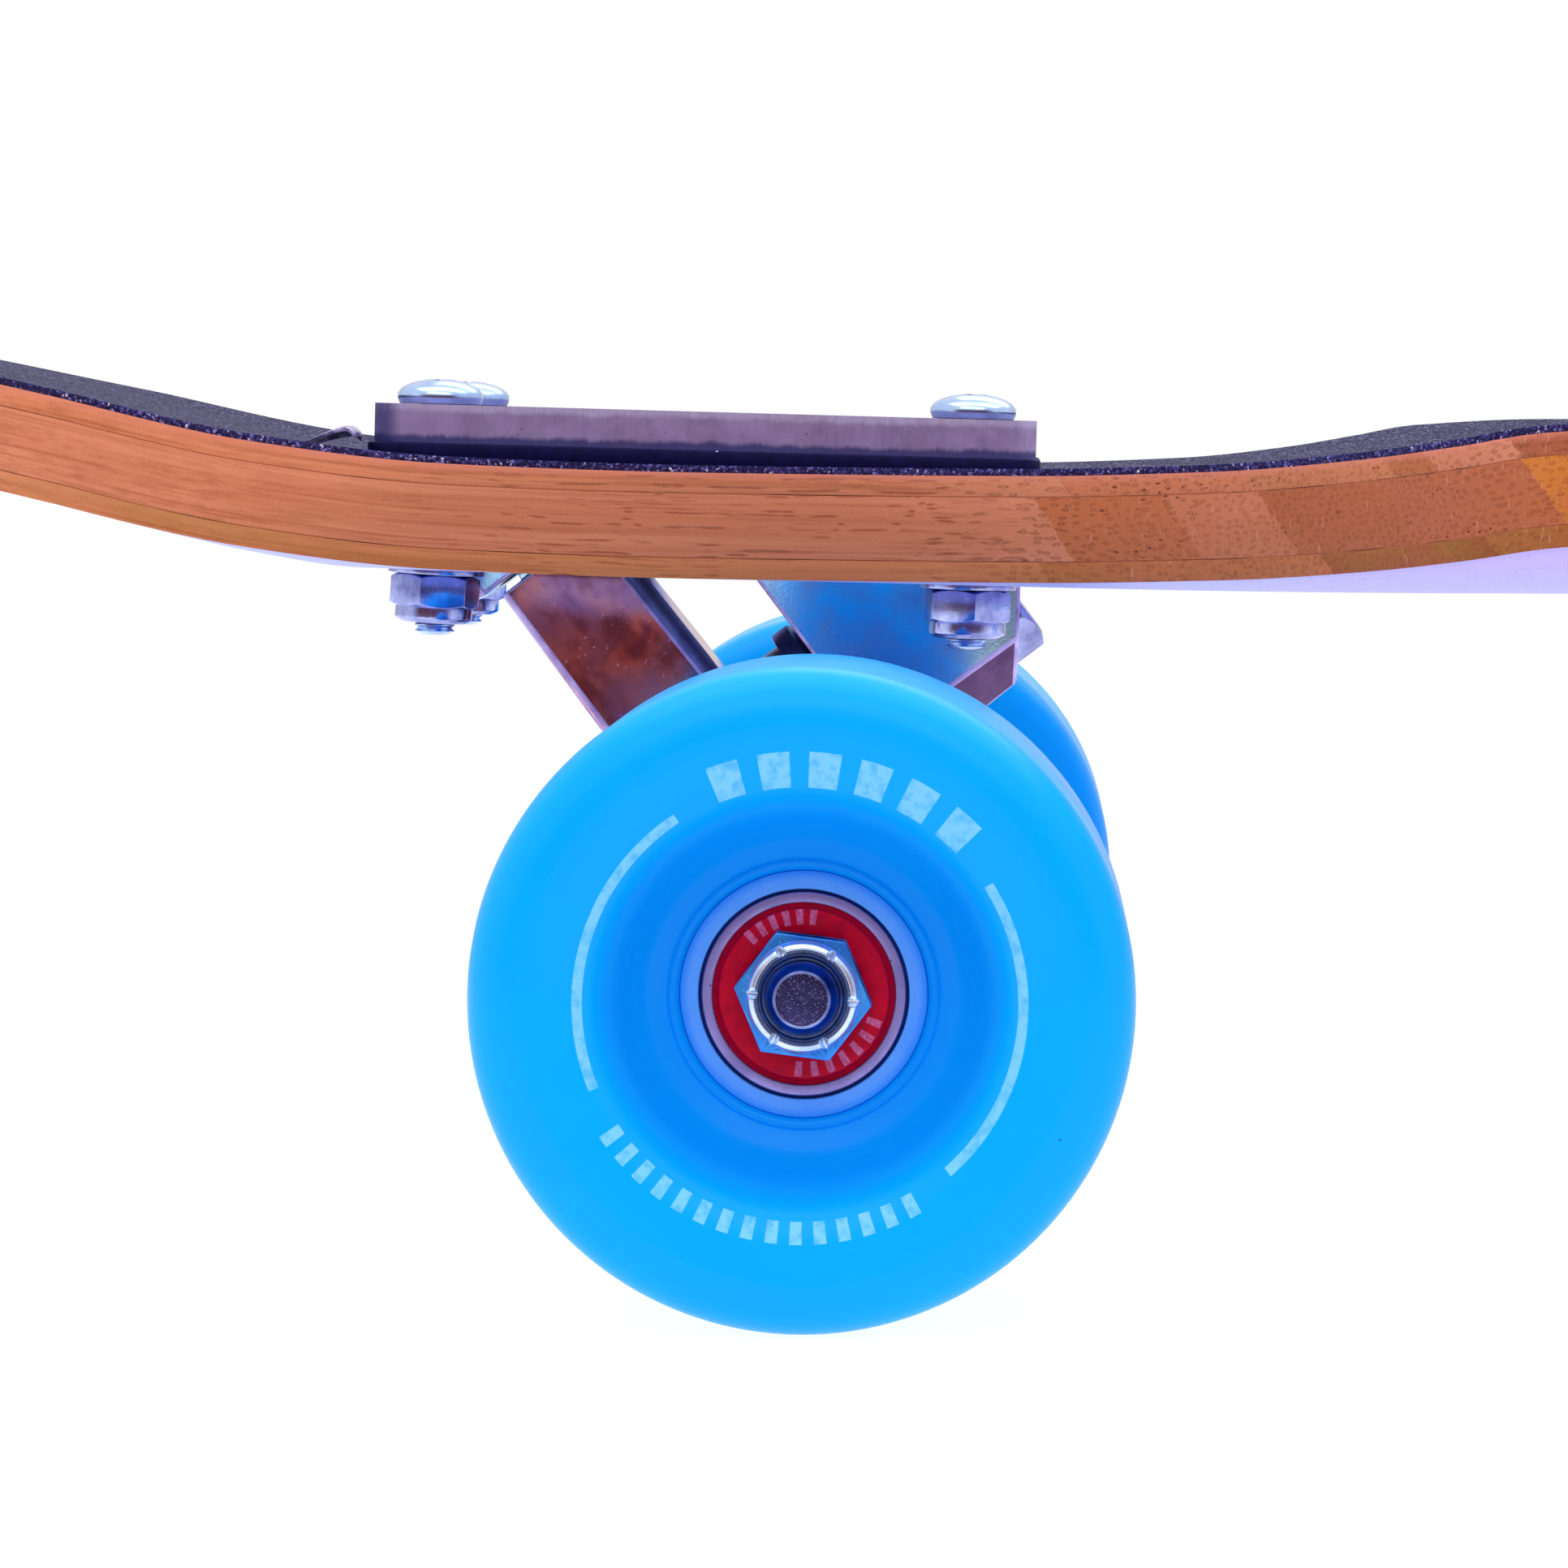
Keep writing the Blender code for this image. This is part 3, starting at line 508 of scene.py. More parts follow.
def make_shield():
    k = Mat("shield_red", srgb(214, 0, 40), 0.34, Specular_IOR_Level=0.1)
    x, y, z = k.xyz(k.coord())
    r = k.math("SQRT", k.math("ADD", k.math("POWER", x, 2.0), k.math("POWER", y, 2.0)))
    n = k.noise(k.coord((900, 900, 900)), 1.0, 3)
    base = k.mix(k.grey(n, [(0.35, 0), (0.7, 1)]), srgb(218, 0, 42), srgb(190, 0, 44))
    # painted shade: darker red beyond r 8.95 mm, over the groove and rim at the shield's edge
    base = k.mix(k.math("MULTIPLY", k.math("GREATER_THAN", r, 0.00895), 0.55), base, srgb(120, 0, 40))
    ang = k.math("MULTIPLY", k.math("ARCTAN2", y, x), 180 / math.pi)
    def dashes(mid, half, period, share, r0, r1):
        d = k.math("WRAP", k.math("SUBTRACT", ang, mid), 180.0, -180.0)
        inside = k.math("LESS_THAN", k.math("ABSOLUTE", d), half)
        saw = k.math("FRACT", k.math("DIVIDE", k.math("ADD", d, half), period))
        dash = k.math("LESS_THAN", k.math("ABSOLUTE", k.math("SUBTRACT", saw, 0.5)), share / 2)
        ring = k.math("MULTIPLY", k.math("GREATER_THAN", r, r0 * MM), k.math("LESS_THAN", r, r1 * MM))
        return k.math("MULTIPLY", k.math("MULTIPLY", inside, dash), ring)
    mark = k.math("MAXIMUM", dashes(108.0, 30.0, 10.0, 0.5, 7.4, 9.0), dashes(-58.0, 42.0, 12.0, 0.45, 7.2, 8.8))
    worn = k.grey(k.noise(k.coord((4000, 4000, 4000)), 1.0, 2), [(0.35, 0.35), (0.6, 1)])
    base = k.mix(k.math("MULTIPLY", k.math("MULTIPLY", mark, worn), 0.62), base, srgb(224, 142, 196))
    k.color(base)
    k.bump(n, 0.05, 0.00005)
    return k.m


URETHANE = make_urethane("urethane_printed", True)
URETHANE_IN = URETHANE
CORE = make_core()
RACE = make_metal("bearing_race", srgb(152, 142, 206), 0.36, bump=0.08, spots=0.8, strength=0.3, metal=0.8).m
# painted shade: the dark colour of the ring standing in the seam between bearing and core
RACE_DARK = make_metal("bearing_gap_shade", srgb(10, 40, 104), 0.5, bump=0.08).m
SHIELD = make_shield()
ZINC = make_metal("zinc_plate", srgb(190, 212, 246), 0.2, bump=0.10, tint=srgb(130, 160, 226), strength=0.6).m
NUT_ZINC = make_metal("nut_zinc", srgb(176, 184, 236), 0.17, bump=0.2, tint=srgb(70, 74, 150), spots=0.3, strength=0.8).m
AXLE_NUT = make_metal("axle_nut_zinc", srgb(222, 234, 255), 0.2, bump=0.14, tint=srgb(120, 170, 235), strength=0.6, metal=0.8).m
AXLE_HEX = make_metal("axle_nut_hexagon", srgb(70, 160, 240), 0.3, bump=0.14, tint=srgb(20, 100, 205), strength=0.8, metal=0.75).m
AXLE_RAW = make_metal("axle_end_raw", srgb(54, 49, 100), 0.5, bump=1.0, tint=srgb(22, 15, 48), strength=1.0, spots=0.7, metal=0.8)
_speck = AXLE_RAW.grey(AXLE_RAW.noise(AXLE_RAW.coord((5200, 5200, 5200), (1, 7, 3)), 1.0, 2), [(0.58, 0), (0.68, 0.5)])
AXLE_RAW.color(AXLE_RAW.mix(_speck, AXLE_RAW.b.inputs["Base Color"].links[0].from_socket, srgb(176, 164, 216)))
AXLE_RAW = AXLE_RAW.m
# painted highlight: a bright ring on the thin edge at the axle's end
AXLE_RIM = make_metal("axle_end_rim", srgb(150, 160, 216), 0.4, bump=0.9, tint=srgb(52, 58, 120), strength=1.0, spots=0.6, metal=0.8).m
THREAD_DARK = make_metal("axle_thread_dark", srgb(46, 78, 150), 0.3, bump=0.2, tint=srgb(12, 20, 66), strength=1.0).m
NYLON = make_dull("nylon_navy", srgb(8, 52, 122), srgb(4, 18, 66), 0.3, 900, 0.15, 0.25)


def make_flange():
    """Side of the flange: brushed across its height, a pale band of painted highlight along the top edge, a dark
    lower band of painted shade, and painted shade darkening the end at -x. Heights are in the plate's own frame."""
    k = make_metal("plate_brushed", srgb(204, 180, 232), 0.46, streak=(2600, 2600, 130), bump=0.22, spots=0.5,
                   tint=srgb(130, 102, 160), strength=0.5, metal=0.6)
    c = k.b.inputs["Base Color"].links[0].from_socket
    x, y, z = k.xyz(k.coord())
    ragged = k.math("MULTIPLY", k.math("SUBTRACT", k.noise(k.coord((420, 420, 60)), 1.0, 4, 0.7), 0.5), 0.0014)
    h = k.math("MULTIPLY", k.math("ADD", z, ragged), 100.0)
    # painted highlight: a pale band along the top edge
    c = k.mix(k.grey(h, [(0.635, 0), (0.69, 0.85)]), c, srgb(226, 214, 255))
    # painted shade: a dark band along the bottom
    c = k.mix(k.grey(h, [(0.345, 0.9), (0.40, 0)]), c, srgb(70, 72, 142))
    # painted shade: darker towards the end at -x
    shaded_end = k.grey(k.math("MULTIPLY", k.math("SUBTRACT", ragged, x), 20.0), [(0.712, 0), (0.745, 0.8)])
    c = k.mix(shaded_end, c, srgb(66, 64, 130))
    rust = k.noise(k.coord((60, 60, 90), (3, 3, 3)), 1.0, 4, 0.65)
    c = k.mix(k.grey(rust, [(0.56, 0), (0.72, 0.45)]), c, srgb(146, 104, 124))
    k.color(c)
    return k.m


def make_plate_top():
    """Top of the flange: brushed lengthwise, scuffed, paler where feet have rubbed its middle."""
    k = make_metal("plate_top_brushed", srgb(150, 140, 184), 0.38, streak=(120, 2600, 2600), bump=0.25, spots=0.6,
                   tint=srgb(98, 86, 136), strength=0.7, metal=0.75)
    c = k.b.inputs["Base Color"].links[0].from_socket
    x, y, z = k.xyz(k.coord())
    rub = k.noise(k.coord((40, 60, 40), (1, 5, 2)), 1.0, 4, 0.6)
    c = k.mix(k.grey(rub, [(0.45, 0), (0.66, 0.5)]), c, srgb(184, 172, 214))
    scuff = k.grey(k.noise(k.coord((900, 90, 200), (4, 2, 8)), 1.0, 2), [(0.69, 0), (0.74, 0.6)])
    cross = k.grey(k.noise(k.coord((70, 1500, 200), (6, 1, 3)), 1.0, 2), [(0.70, 0), (0.75, 0.5)])
    c = k.mix(k.math("MAXIMUM", scuff, cross), c, srgb(214, 206, 240))
    k.color(c)
    return k.m


CAST_SIDE = make_flange()
CAST_TOP = make_plate_top()
CAST = make_metal("cast_satin", srgb(170, 208, 228), 0.2, bump=0.14, spots=0.5, tint=srgb(118, 156, 200), strength=0.6).m
# a dull, rough cast finish, darkened as painted shade for the faces that point down and sideways
CAST_DULL = make_metal("cast_dull_shaded", srgb(116, 84, 128), 0.62, bump=0.3, spots=0.4, tint=srgb(80, 52, 92), strength=0.7, metal=0.8).m
# painted highlight: a pale lavender colour given to the bevels, standing in for light caught on the edges
EDGE = make_metal("painted_edge_highlight", srgb(206, 190, 244), 0.45, bump=0.6, tint=srgb(126, 106, 176), strength=0.9, metal=0.5).m
STRIP = make_metal("stem_strip", srgb(132, 124, 190), 0.3, bump=0.15, tint=srgb(70, 60, 120), strength=0.8, metal=0.7).m


def make_stem():
    """Polished face: fine scratches, and a painted reflection in patches of brown, orange and blue."""
    k = Mat("stem_polished", srgb(190, 150, 175), 0.14, 1.0)
    # painted reflection: large patches of blue, lavender, pink, orange and purple stand in for the wheel and wood that
    # the polished face mirrors
    big = k.noise(k.coord((95, 95, 75), (0.5, 0.2, 0.35)), 1.0, 3, 0.5, 0.6)
    c = k.ramp(big, [(0.30, srgb(110, 160, 240)), (0.40, srgb(184, 138, 170)), (0.52, srgb(222, 160, 162)), (0.62, srgb(250, 162, 138)), (0.70, srgb(160, 104, 134))])
    # painted reflection: darker brown patches
    patch = k.noise(k.coord((230, 230, 150), (2, 4, 1)), 1.0, 3, 0.6)
    c = k.mix(k.grey(patch, [(0.40, 0.55), (0.52, 0)]), c, srgb(140, 88, 104))
    scr = k.noise(k.coord((260, 5200, 1000)), 1.0, 2)
    lines = k.grey(scr, [(0.69, 0), (0.73, 1)])
    cross = k.grey(k.noise(k.coord((1400, 300, 2800), (5, 1, 1)), 1.0, 2), [(0.70, 0), (0.74, 1)])
    both = k.math("MAXIMUM", lines, cross)
    c = k.mix(k.math("MULTIPLY", both, 0.35), c, srgb(235, 200, 225))
    k.color(c)
    k.bump(k.noise(k.coord((60, 60, 60)), 1.0, 2), 0.12, 0.0004)
    k.bump(both, 0.2, 0.00006)
    k.rough(k.grey(patch, [(0.35, 0.12), (0.7, 0.2)]))
    return k.m


POLISH = make_stem()
DARK = make_metal("dark_washer", srgb(96, 108, 190), 0.32, bump=0.15, tint=srgb(40, 42, 96), strength=0.9, metal=0.75).m
BLACK = make_dull("black_urethane", srgb(14, 12, 34), srgb(26, 24, 54), 0.28, 500, 0.08, 0.1)


def make_pad():
    k = Mat("pad_rubber", srgb(18, 14, 66), 0.55, Specular_IOR_Level=0.1)
    n = k.noise(k.coord((700, 700, 700)), 1.0, 4)
    c = k.mix(k.grey(n, [(0.35, 0), (0.7, 1)]), srgb(22, 18, 78), srgb(12, 8, 50))
    v = k.voronoi(k.coord((520, 520, 900)), 1.0)
    some = k.math("GREATER_THAN", k.noise(k.coord((260, 260, 500), (3, 1, 2)), 1.0, 1), 0.66)
    c = k.mix(k.math("MULTIPLY", k.math("LESS_THAN", v, 0.10), some), c, srgb(210, 204, 250))
    k.color(c)
    k.bump(n, 0.1, 0.0001)
    return k.m


PADMAT = make_pad()
GLUE = make_glue()
GRIP = make_grip()
FILM = make_film()
PAINT = make_paint()
WOOD = {kind: bamboo("bamboo_" + kind, kind) for kind in ("core", "top", "bottom")}


# ---- mesh helpers ---------------------------------------------------------------
def mesh_obj(name, bm, mats, sharp=32.0, smooth=True, doubles=True):
    if doubles:
        bmesh.ops.remove_doubles(bm, verts=bm.verts[:], dist=1e-7)
    bmesh.ops.recalc_face_normals(bm, faces=bm.faces[:])
    me = bpy.data.meshes.new(name)
    bm.to_mesh(me)
    bm.free()
    for m in (mats if isinstance(mats, (list, tuple)) else [mats]):
        me.materials.append(m)
    if smooth:
        me.shade_smooth()
        me.set_sharp_from_angle(angle=math.radians(sharp))
    ob = bpy.data.objects.new(name, me)
    bpy.context.scene.collection.objects.link(ob)
    return ob


def turned(profile, n, phase=0.0):
    """Turned about local Z; closes on itself when no radius is zero."""
    bm = bmesh.new()
    rings = []
    for r, h in profile:
        if r <= 0:
            rings.append([bm.verts.new((0, 0, h * MM))])
        else:
            rings.append([bm.verts.new((r * MM * math.cos(2 * math.pi * (k + phase) / n),
                                        r * MM * math.sin(2 * math.pi * (k + phase) / n), h * MM)) for k in range(n)])
    pairs = list(zip(rings[:-1], rings[1:]))
    if profile[0][0] > 0:
        pairs.append((rings[-1], rings[0]))
    for a, b in pairs:
        for k in range(n):
            m = (k + 1) % n
            if len(a) == 1:
                bm.faces.new((a[0], b[k], b[m]))
            elif len(b) == 1:
                bm.faces.new((a[m], a[k], b[0]))
            else:
                bm.faces.new((a[k], b[k], b[m], a[m]))
    return bm


def rounded(points, radius, steps=4):
    """Round the corners of a closed profile of (r, h) points. A point may carry its own radius."""
    out = []
    n = len(points)
    for i in range(n):
        p = Vector(points[i][:2])
        rad = points[i][2] if len(points[i]) > 2 else radius
        a, b = Vector(points[i - 1][:2]), Vector(points[(i + 1) % n][:2])
        if p.x <= 0 or rad <= 0:
            out.append((p.x, p.y))
            continue
        u, v = (a - p), (b - p)
        la, lb = u.length, v.length
        u.normalize(); v.normalize()
        dot = max(-0.9999, min(0.9999, u.dot(v)))
        half = math.acos(dot) / 2
        cut = min(rad / math.tan(half), la * 0.45, lb * 0.45)
        s, e = p + u * cut, p + v * cut
        for k in range(steps + 1):
            t = k / steps
            q = s * (1 - t) ** 2 + p * 2 * t * (1 - t) + e * t ** 2
            out.append((q.x, q.y))
    return out


def hull(points):
    bm = bmesh.new()
    for p in points:
        bm.verts.new(Vector(p) * MM)
    bmesh.ops.convex_hull(bm, input=bm.verts[:])
    bmesh.ops.dissolve_limit(bm, angle_limit=0.001, verts=bm.verts[:], edges=bm.edges[:])
    return bm


def slab(x0, x1, hy, z0, z1, corner, steps=8):
    pts = []
    for sx, sy, start in ((1, 1, 0), (-1, 1, 90), (-1, -1, 180), (1, -1, 270)):
        cx = (x1 - corner) if sx > 0 else (x0 + corner)
        cy = sy * (hy - corner)
        for k in range(steps + 1):
            a = math.radians(start + 90 * k / steps)
            pts.append((cx + corner * math.cos(a), cy + corner * math.sin(a)))
    bm = bmesh.new()
    lo = [bm.verts.new((x * MM, y * MM, z0 * MM)) for x, y in pts]
    hi = [bm.verts.new((x * MM, y * MM, z1 * MM)) for x, y in pts]
    bm.faces.new(lo[::-1])
    bm.faces.new(hi)
    for k in range(len(pts)):
        m = (k + 1) % len(pts)
        bm.faces.new((lo[k], lo[m], hi[m], hi[k]))
    return bm


def rot_to(bm, axis):
    r = {"X": Matrix.Rotation(math.radians(90), 4, "Y"), "Y": Matrix.Rotation(math.radians(-90), 4, "X")}[axis]
    bmesh.ops.transform(bm, matrix=r, verts=bm.verts[:])
    return bm


def apply_all(ob):
    bpy.context.view_layer.update()
    dg = bpy.context.evaluated_depsgraph_get()
    me = bpy.data.meshes.new_from_object(ob.evaluated_get(dg), depsgraph=dg)
    old = ob.data
    ob.modifiers.clear()
    ob.data = me
    me.name = old.name
    if old.users == 0:
        bpy.data.meshes.remove(old)
    return ob


def cut(ob, others, operation="DIFFERENCE", drop=True):
    """Booleans, applied one after another; the tools are removed."""
    for other in others:
        m = ob.modifiers.new("cut", "BOOLEAN")
        m.operation, m.solver, m.object = operation, "EXACT", other
    apply_all(ob)
    if drop:
        for other in others:
            bpy.data.objects.remove(other, do_unlink=True)
    return ob


def bevel(ob, width, segments=2, angle=35.0, weights=False, mat=-1):
    m = ob.modifiers.new("bevel", "BEVEL")
    m.width = width * MM
    m.segments = segments
    m.limit_method = "WEIGHT" if weights else "ANGLE"
    m.angle_limit = math.radians(angle)
    m.use_clamp_overlap = True
    m.harden_normals = False
    m.miter_outer = "MITER_ARC"
    m.material = mat
    apply_all(ob)
    ob.data.shade_smooth()
    ob.data.set_sharp_from_angle(angle=math.radians(40))
    return ob


def shown(ob, body, replaces=()):
    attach(ob, body)
    if replaces:
        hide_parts(*replaces)
    return ob


def twin(ob, name):
    t = bpy.data.objects.new(name, ob.data)
    bpy.context.scene.collection.objects.link(t)
    return t


# ---- deck -------------------------------------------------------------------------
def stations(inset):
    nose = [NOSE_START - NOSE_LEN * math.sin(math.radians(a))
            for a in (85.3, 81, 76, 70, 64, 58, 52, 46, 40, 34, 28, 22, 16, 10, 5)]
    xs = nose + [-80 + 2.5 * k for k in range(0, 76)]          # to 107.5
    xs += [112, 118, 126, 136, 150, 170, 195, 225, 260, 300, 340]
    half = [(x, half_width(x)) for x in xs]
    tip = 0.4 * inset
    out = []
    for x, w in half:
        out.append((x if x > NOSE_START else x + inset * (NOSE_START - x) / NOSE_LEN, w, max(0.3, w - inset)))
    rows = [(x - TRUCK_X, x, w, v) for x, w, v in out]
    rows += [(TRUCK_X - x, x, w, v) for x, w, v in reversed(out)]
    return rows


def board_sheet(name, low, high, inset, mats, top_round=0.0, low_round=0.0, paint=False, shaded_end=0.0):
    bm = bmesh.new()
    layer = bm.edges.layers.float.new("bevel_weight_edge")
    rows = []
    cols = [0.0, 0.16, 0.32, 0.46, 0.6, 0.72, 0.83, 0.92, 1.0]
    for wx, x, w_full, w in stations(inset):
        m = min(FLAT_HALF, 0.5 * w)
        ys = [0.0, m * 0.5] + [m + (w - m) * c for c in cols]
        ys = [-v for v in reversed(ys)] + ys[1:]
        k = slope_factor(x)
        row = []
        for y in ys:
            z = under_z(x, y, w_full)
            row.append((bm.verts.new((wx * MM, y * MM, (z + low * k) * MM)),
                        bm.verts.new((wx * MM, y * MM, (z + high * k) * MM))))
        rows.append(row)
    for a, b in zip(rows[:-1], rows[1:]):
        for j in range(len(a) - 1):
            f = bm.faces.new((a[j][0], a[j + 1][0], b[j + 1][0], b[j][0]))
            f.material_index = 1 if paint else 0
            bm.faces.new((a[j][1], b[j][1], b[j + 1][1], a[j + 1][1]))
        bm.faces.new((a[0][0], b[0][0], b[0][1], a[0][1]))
        bm.faces.new((a[-1][0], a[-1][1], b[-1][1], b[-1][0]))
    for row in (rows[0], rows[-1]):
        for j in range(len(row) - 1):
            bm.faces.new((row[j][0], row[j][1], row[j + 1][1], row[j + 1][0]))
    big = max(top_round, low_round, 0.01)
    lower, upper = set(), set()
    for i, row in enumerate(rows):
        if i in (0, len(rows) - 1):
            lower |= {p[0] for p in row}
            upper |= {p[1] for p in row}
        else:
            lower |= {row[0][0], row[-1][0]}
            upper |= {row[0][1], row[-1][1]}
    for e in bm.edges:
        a, b = e.verts
        if a in upper and b in upper:
            e[layer] = top_round / big
        elif a in lower and b in lower:
            e[layer] = low_round / big
    ob = mesh_obj(name, bm, mats, doubles=False)
    if top_round or low_round:
        bevel(ob, big, 3, weights=True)
    return ob


def frames(end):
    turn = 0.0 if end == "front" else math.pi
    sx = -1 if end == "front" else 1
    root = Matrix.Translation((sx * TRUCK_X * MM, 0, 0)) @ Matrix.Rotation(turn, 4, "Z")
    plate = root @ Matrix.Translation(Vector((PLATE_X, 0, PLATE_Z)) * MM) @ Matrix.Rotation(PLATE_TILT, 4, "Y")
    steer = root @ Matrix.Translation((0, 0, WHEEL_R * MM)) @ Matrix.Rotation(-STEER, 4, "Y")
    return root, plate, steer


CORNERS = ((-1, -1), (1, -1), (-1, 1), (1, 1))


def grain_attr(ob):
    """Each point's place with its height counted from the board's underside, for the wood's grain."""
    a = ob.data.attributes.new("grain", "FLOAT_VECTOR", "POINT")
    for i, v in enumerate(ob.data.vertices):
        wx, y = v.co.x / MM, v.co.y / MM
        x = wx + TRUCK_X if wx < 0 else TRUCK_X - wx
        rise = v.co.z / MM - under_z(x, y, half_width(x))
        a.data[i].vector = (v.co.x, v.co.y, rise / slope_factor(x) * MM)


def deck_cutters(tag, slot_half=15.2, grow=0.0, hole=2.9):
    made = []
    for end in ("front", "rear"):
        _, plate, _ = frames(end)
        s = mesh_obj("cut_%s_%s" % (tag, end), slab(-35.6 - grow, 39.3 + grow, slot_half + grow, -20, 8, 2.0 + grow, 6), BLACK, smooth=False)
        s.matrix_world = plate
        made.append(s)
        for sx, sy in CORNERS:
            h = mesh_obj("hole", turned([(0, 12), (hole, 12), (hole, -25), (0, -25)], 24), BLACK, smooth=False)
            h.matrix_world = plate @ Matrix.Translation(Vector((sx * BOLT_DX, sy * BOLT_DY, 0)) * MM)
            made.append(h)
    return made


LAYERS = [("deck_ply_bottom", 0.0, 2.30, 0.0, [WOOD["bottom"], PAINT], 0.10, 0.65, True),
          ("deck_glue_lower", 2.30, 2.41, 0.06, [GLUE], 0, 0, False),
          ("deck_ply_core", 2.41, 9.59, 0.0, [WOOD["core"]], 0.10, 0.10, False),
          ("deck_glue_upper", 9.59, 9.70, 0.06, [GLUE], 0, 0, False),
          ("deck_ply_top", 9.70, 12.0, 0.0, [WOOD["top"]], 0.55, 0.10, False)]
for name, low, high, inset, mats, tr, lr, paint in LAYERS:
    ply = board_sheet(name, low, high, inset, mats, tr, lr, paint)
    cut(ply, deck_cutters(name))
    ply.data.set_sharp_from_angle(angle=math.radians(38))
    grain_attr(ply)
    shown(ply, "board", ["deck"])

grip = board_sheet("grip_sheet", 12.03, 12.85, 0.7, [GRIP], 0.25, 0.0)
cut(grip, deck_cutters("grip", grow=0.3))
shown(grip, "board", ["grip_tape"])

# a lifted, curled edge of the grip beside the front riser pad
bm = bmesh.new()
rows = []
for i in range(19):
    t = i / 18
    x = -64.5 + 9.3 * t
    lift = 3.4 * (3 * t ** 2 - 2 * t ** 3) - (0.9 * ((t - 0.86) / 0.14) ** 2 if t > 0.86 else 0)
    thick = 0.10 + 0.42 * t
    row = []
    for j in range(9):
        v = j / 8
        y = -33.5 + 11.5 * v
        edge = min(1.0, 0.35 + 1.6 * math.sin(math.pi * (0.12 + 0.80 * v)))
        base = under_z(x, y, half_width(x)) + 12.72 * slope_factor(x)
        z = base + lift * edge
        xx = x - 0.9 * (v - 0.35) ** 2 * t
        row.append((bm.verts.new(((xx - TRUCK_X) * MM, y * MM, z * MM)), bm.verts.new(((xx - TRUCK_X) * MM, y * MM, (z + thick) * MM))))
    rows.append(row)
for a, b in zip(rows[:-1], rows[1:]):
    for j in range(8):
        bm.faces.new((a[j][0], a[j + 1][0], b[j + 1][0], b[j][0]))
        bm.faces.new((a[j][1], b[j][1], b[j + 1][1], a[j + 1][1]))
    bm.faces.new((a[0][0], b[0][0], b[0][1], a[0][1]))
    bm.faces.new((a[-1][0], a[-1][1], b[-1][1], b[-1][0]))
for row in (rows[0], rows[-1]):
    for j in range(8):
        bm.faces.new((row[j][0], row[j][1], row[j + 1][1], row[j + 1][0]))
flap = mesh_obj("grip_lifted_edge", bm, [FILM, GRIP], doubles=False)
bevel(flap, 0.12, 2, 40)
shown(flap, "board")


# ---- shared small hardware --------------------------------------------------------
def hex_solid(name, af, low, high, chamfer_top, chamfer_low, mat, n=48, bore=0.0):
    """A hexagon with turned chamfers, vertices at 0, 60, 120 degrees."""
    rc = af / math.sqrt(3)
    bm = turned([(0, high), (rc, high), (rc, low), (0, low)], 6)
    ob = mesh_obj(name, bm, mat, smooth=False)
    big = rc * 1.3
    drop = math.tan(math.radians(28))
    profile = [(0, high), (af / 2 * chamfer_top if chamfer_top else big, high)]
    if chamfer_top:
        profile.append((big, high - (big - af / 2 * chamfer_top) * drop))
    if chamfer_low:
        profile.append((big, low + (big - af / 2 * chamfer_low) * drop))
        profile.append((af / 2 * chamfer_low, low))
    else:
        profile.append((big, low))
    profile.append((0, low))
    lathe = mesh_obj(name + "_lathe", turned([(r, h + (0.001 if h == high else -0.001 if h == low else 0)) for r, h in profile], n), mat)
    cut(ob, [lathe], "INTERSECT")
    if bore:
        b = mesh_obj("bore", turned([(0, high + 2), (bore, high + 2), (bore, low - 2), (0, low - 2)], 32), mat)
        cut(ob, [b])
    return bevel(ob, 0.12, 2, 28)


def thread(r, low, high, pitch, n_cap=0.0):
    """Profile of an external thread as ridges, running down the outer side, with a chamfered end at the bottom."""
    pts = []
    h = high
    while h > low + pitch * 0.9:
        pts += [(r, h), (r, h - pitch * 0.15), (r - pitch * 0.42, h - pitch * 0.5), (r - pitch * 0.42, h - pitch * 0.62)]
        h -= pitch
    pts += [(r, h), (r - 0.1, low + 0.35), (r - 0.75, low)]
    return pts


# mounting bolt: truss head, plain shank, threaded end
def make_bolt():
    p = [(0, 10.35), (0.3, 10.4)]
    for k in range(1, 15):
        t = k / 14
        r = 5.08 * t
        p.append((r, 8.35 + 2.05 * math.sqrt(max(0.0, 1 - (t * 0.985) ** 2.1))))
    p += [(5.12, 8.25), (5.08, 8.05), (4.86, 7.48), (4.74, 7.42), (2.42, 7.42)]
    p += [(2.40, -9.0)] + thread(BOLT_R, -20.0, -9.2, 0.8) + [(0, -20.0)]
    ob = mesh_obj("bolt", turned(p, 40), ZINC, sharp=40)
    # cross recess in the head
    a = mesh_obj("bar", hull([(x, y, z) for x in (-1.9, 1.9) for y in (-0.42, 0.42) for z in (9.3, 11.2)]), ZINC, smooth=False)
    b = mesh_obj("bar", hull([(x, y, z) for x in (-0.42, 0.42) for y in (-1.9, 1.9) for z in (9.3, 11.2)]), ZINC, smooth=False)
    cut(ob, [a, b])
    ob.data.set_sharp_from_angle(angle=math.radians(40))
    return ob


def make_lock_nut():
    """Hexagon with a rolled collar that holds the nylon ring."""
    ob = hex_solid("lock_nut", 9.4, -16.75, -12.86, 0.97, 0.985, NUT_ZINC, bore=2.45)
    prof = rounded([(2.46, -16.4), (4.62, -16.4), (4.62, -18.15), (3.9, -18.62), (2.46, -18.62)], 0.45, 4)
    col = mesh_obj("collar", turned(prof, 48), NUT_ZINC)
    cut(ob, [col], "UNION")
    ob.data.shade_smooth()
    ob.data.set_sharp_from_angle(angle=math.radians(36))
    return ob


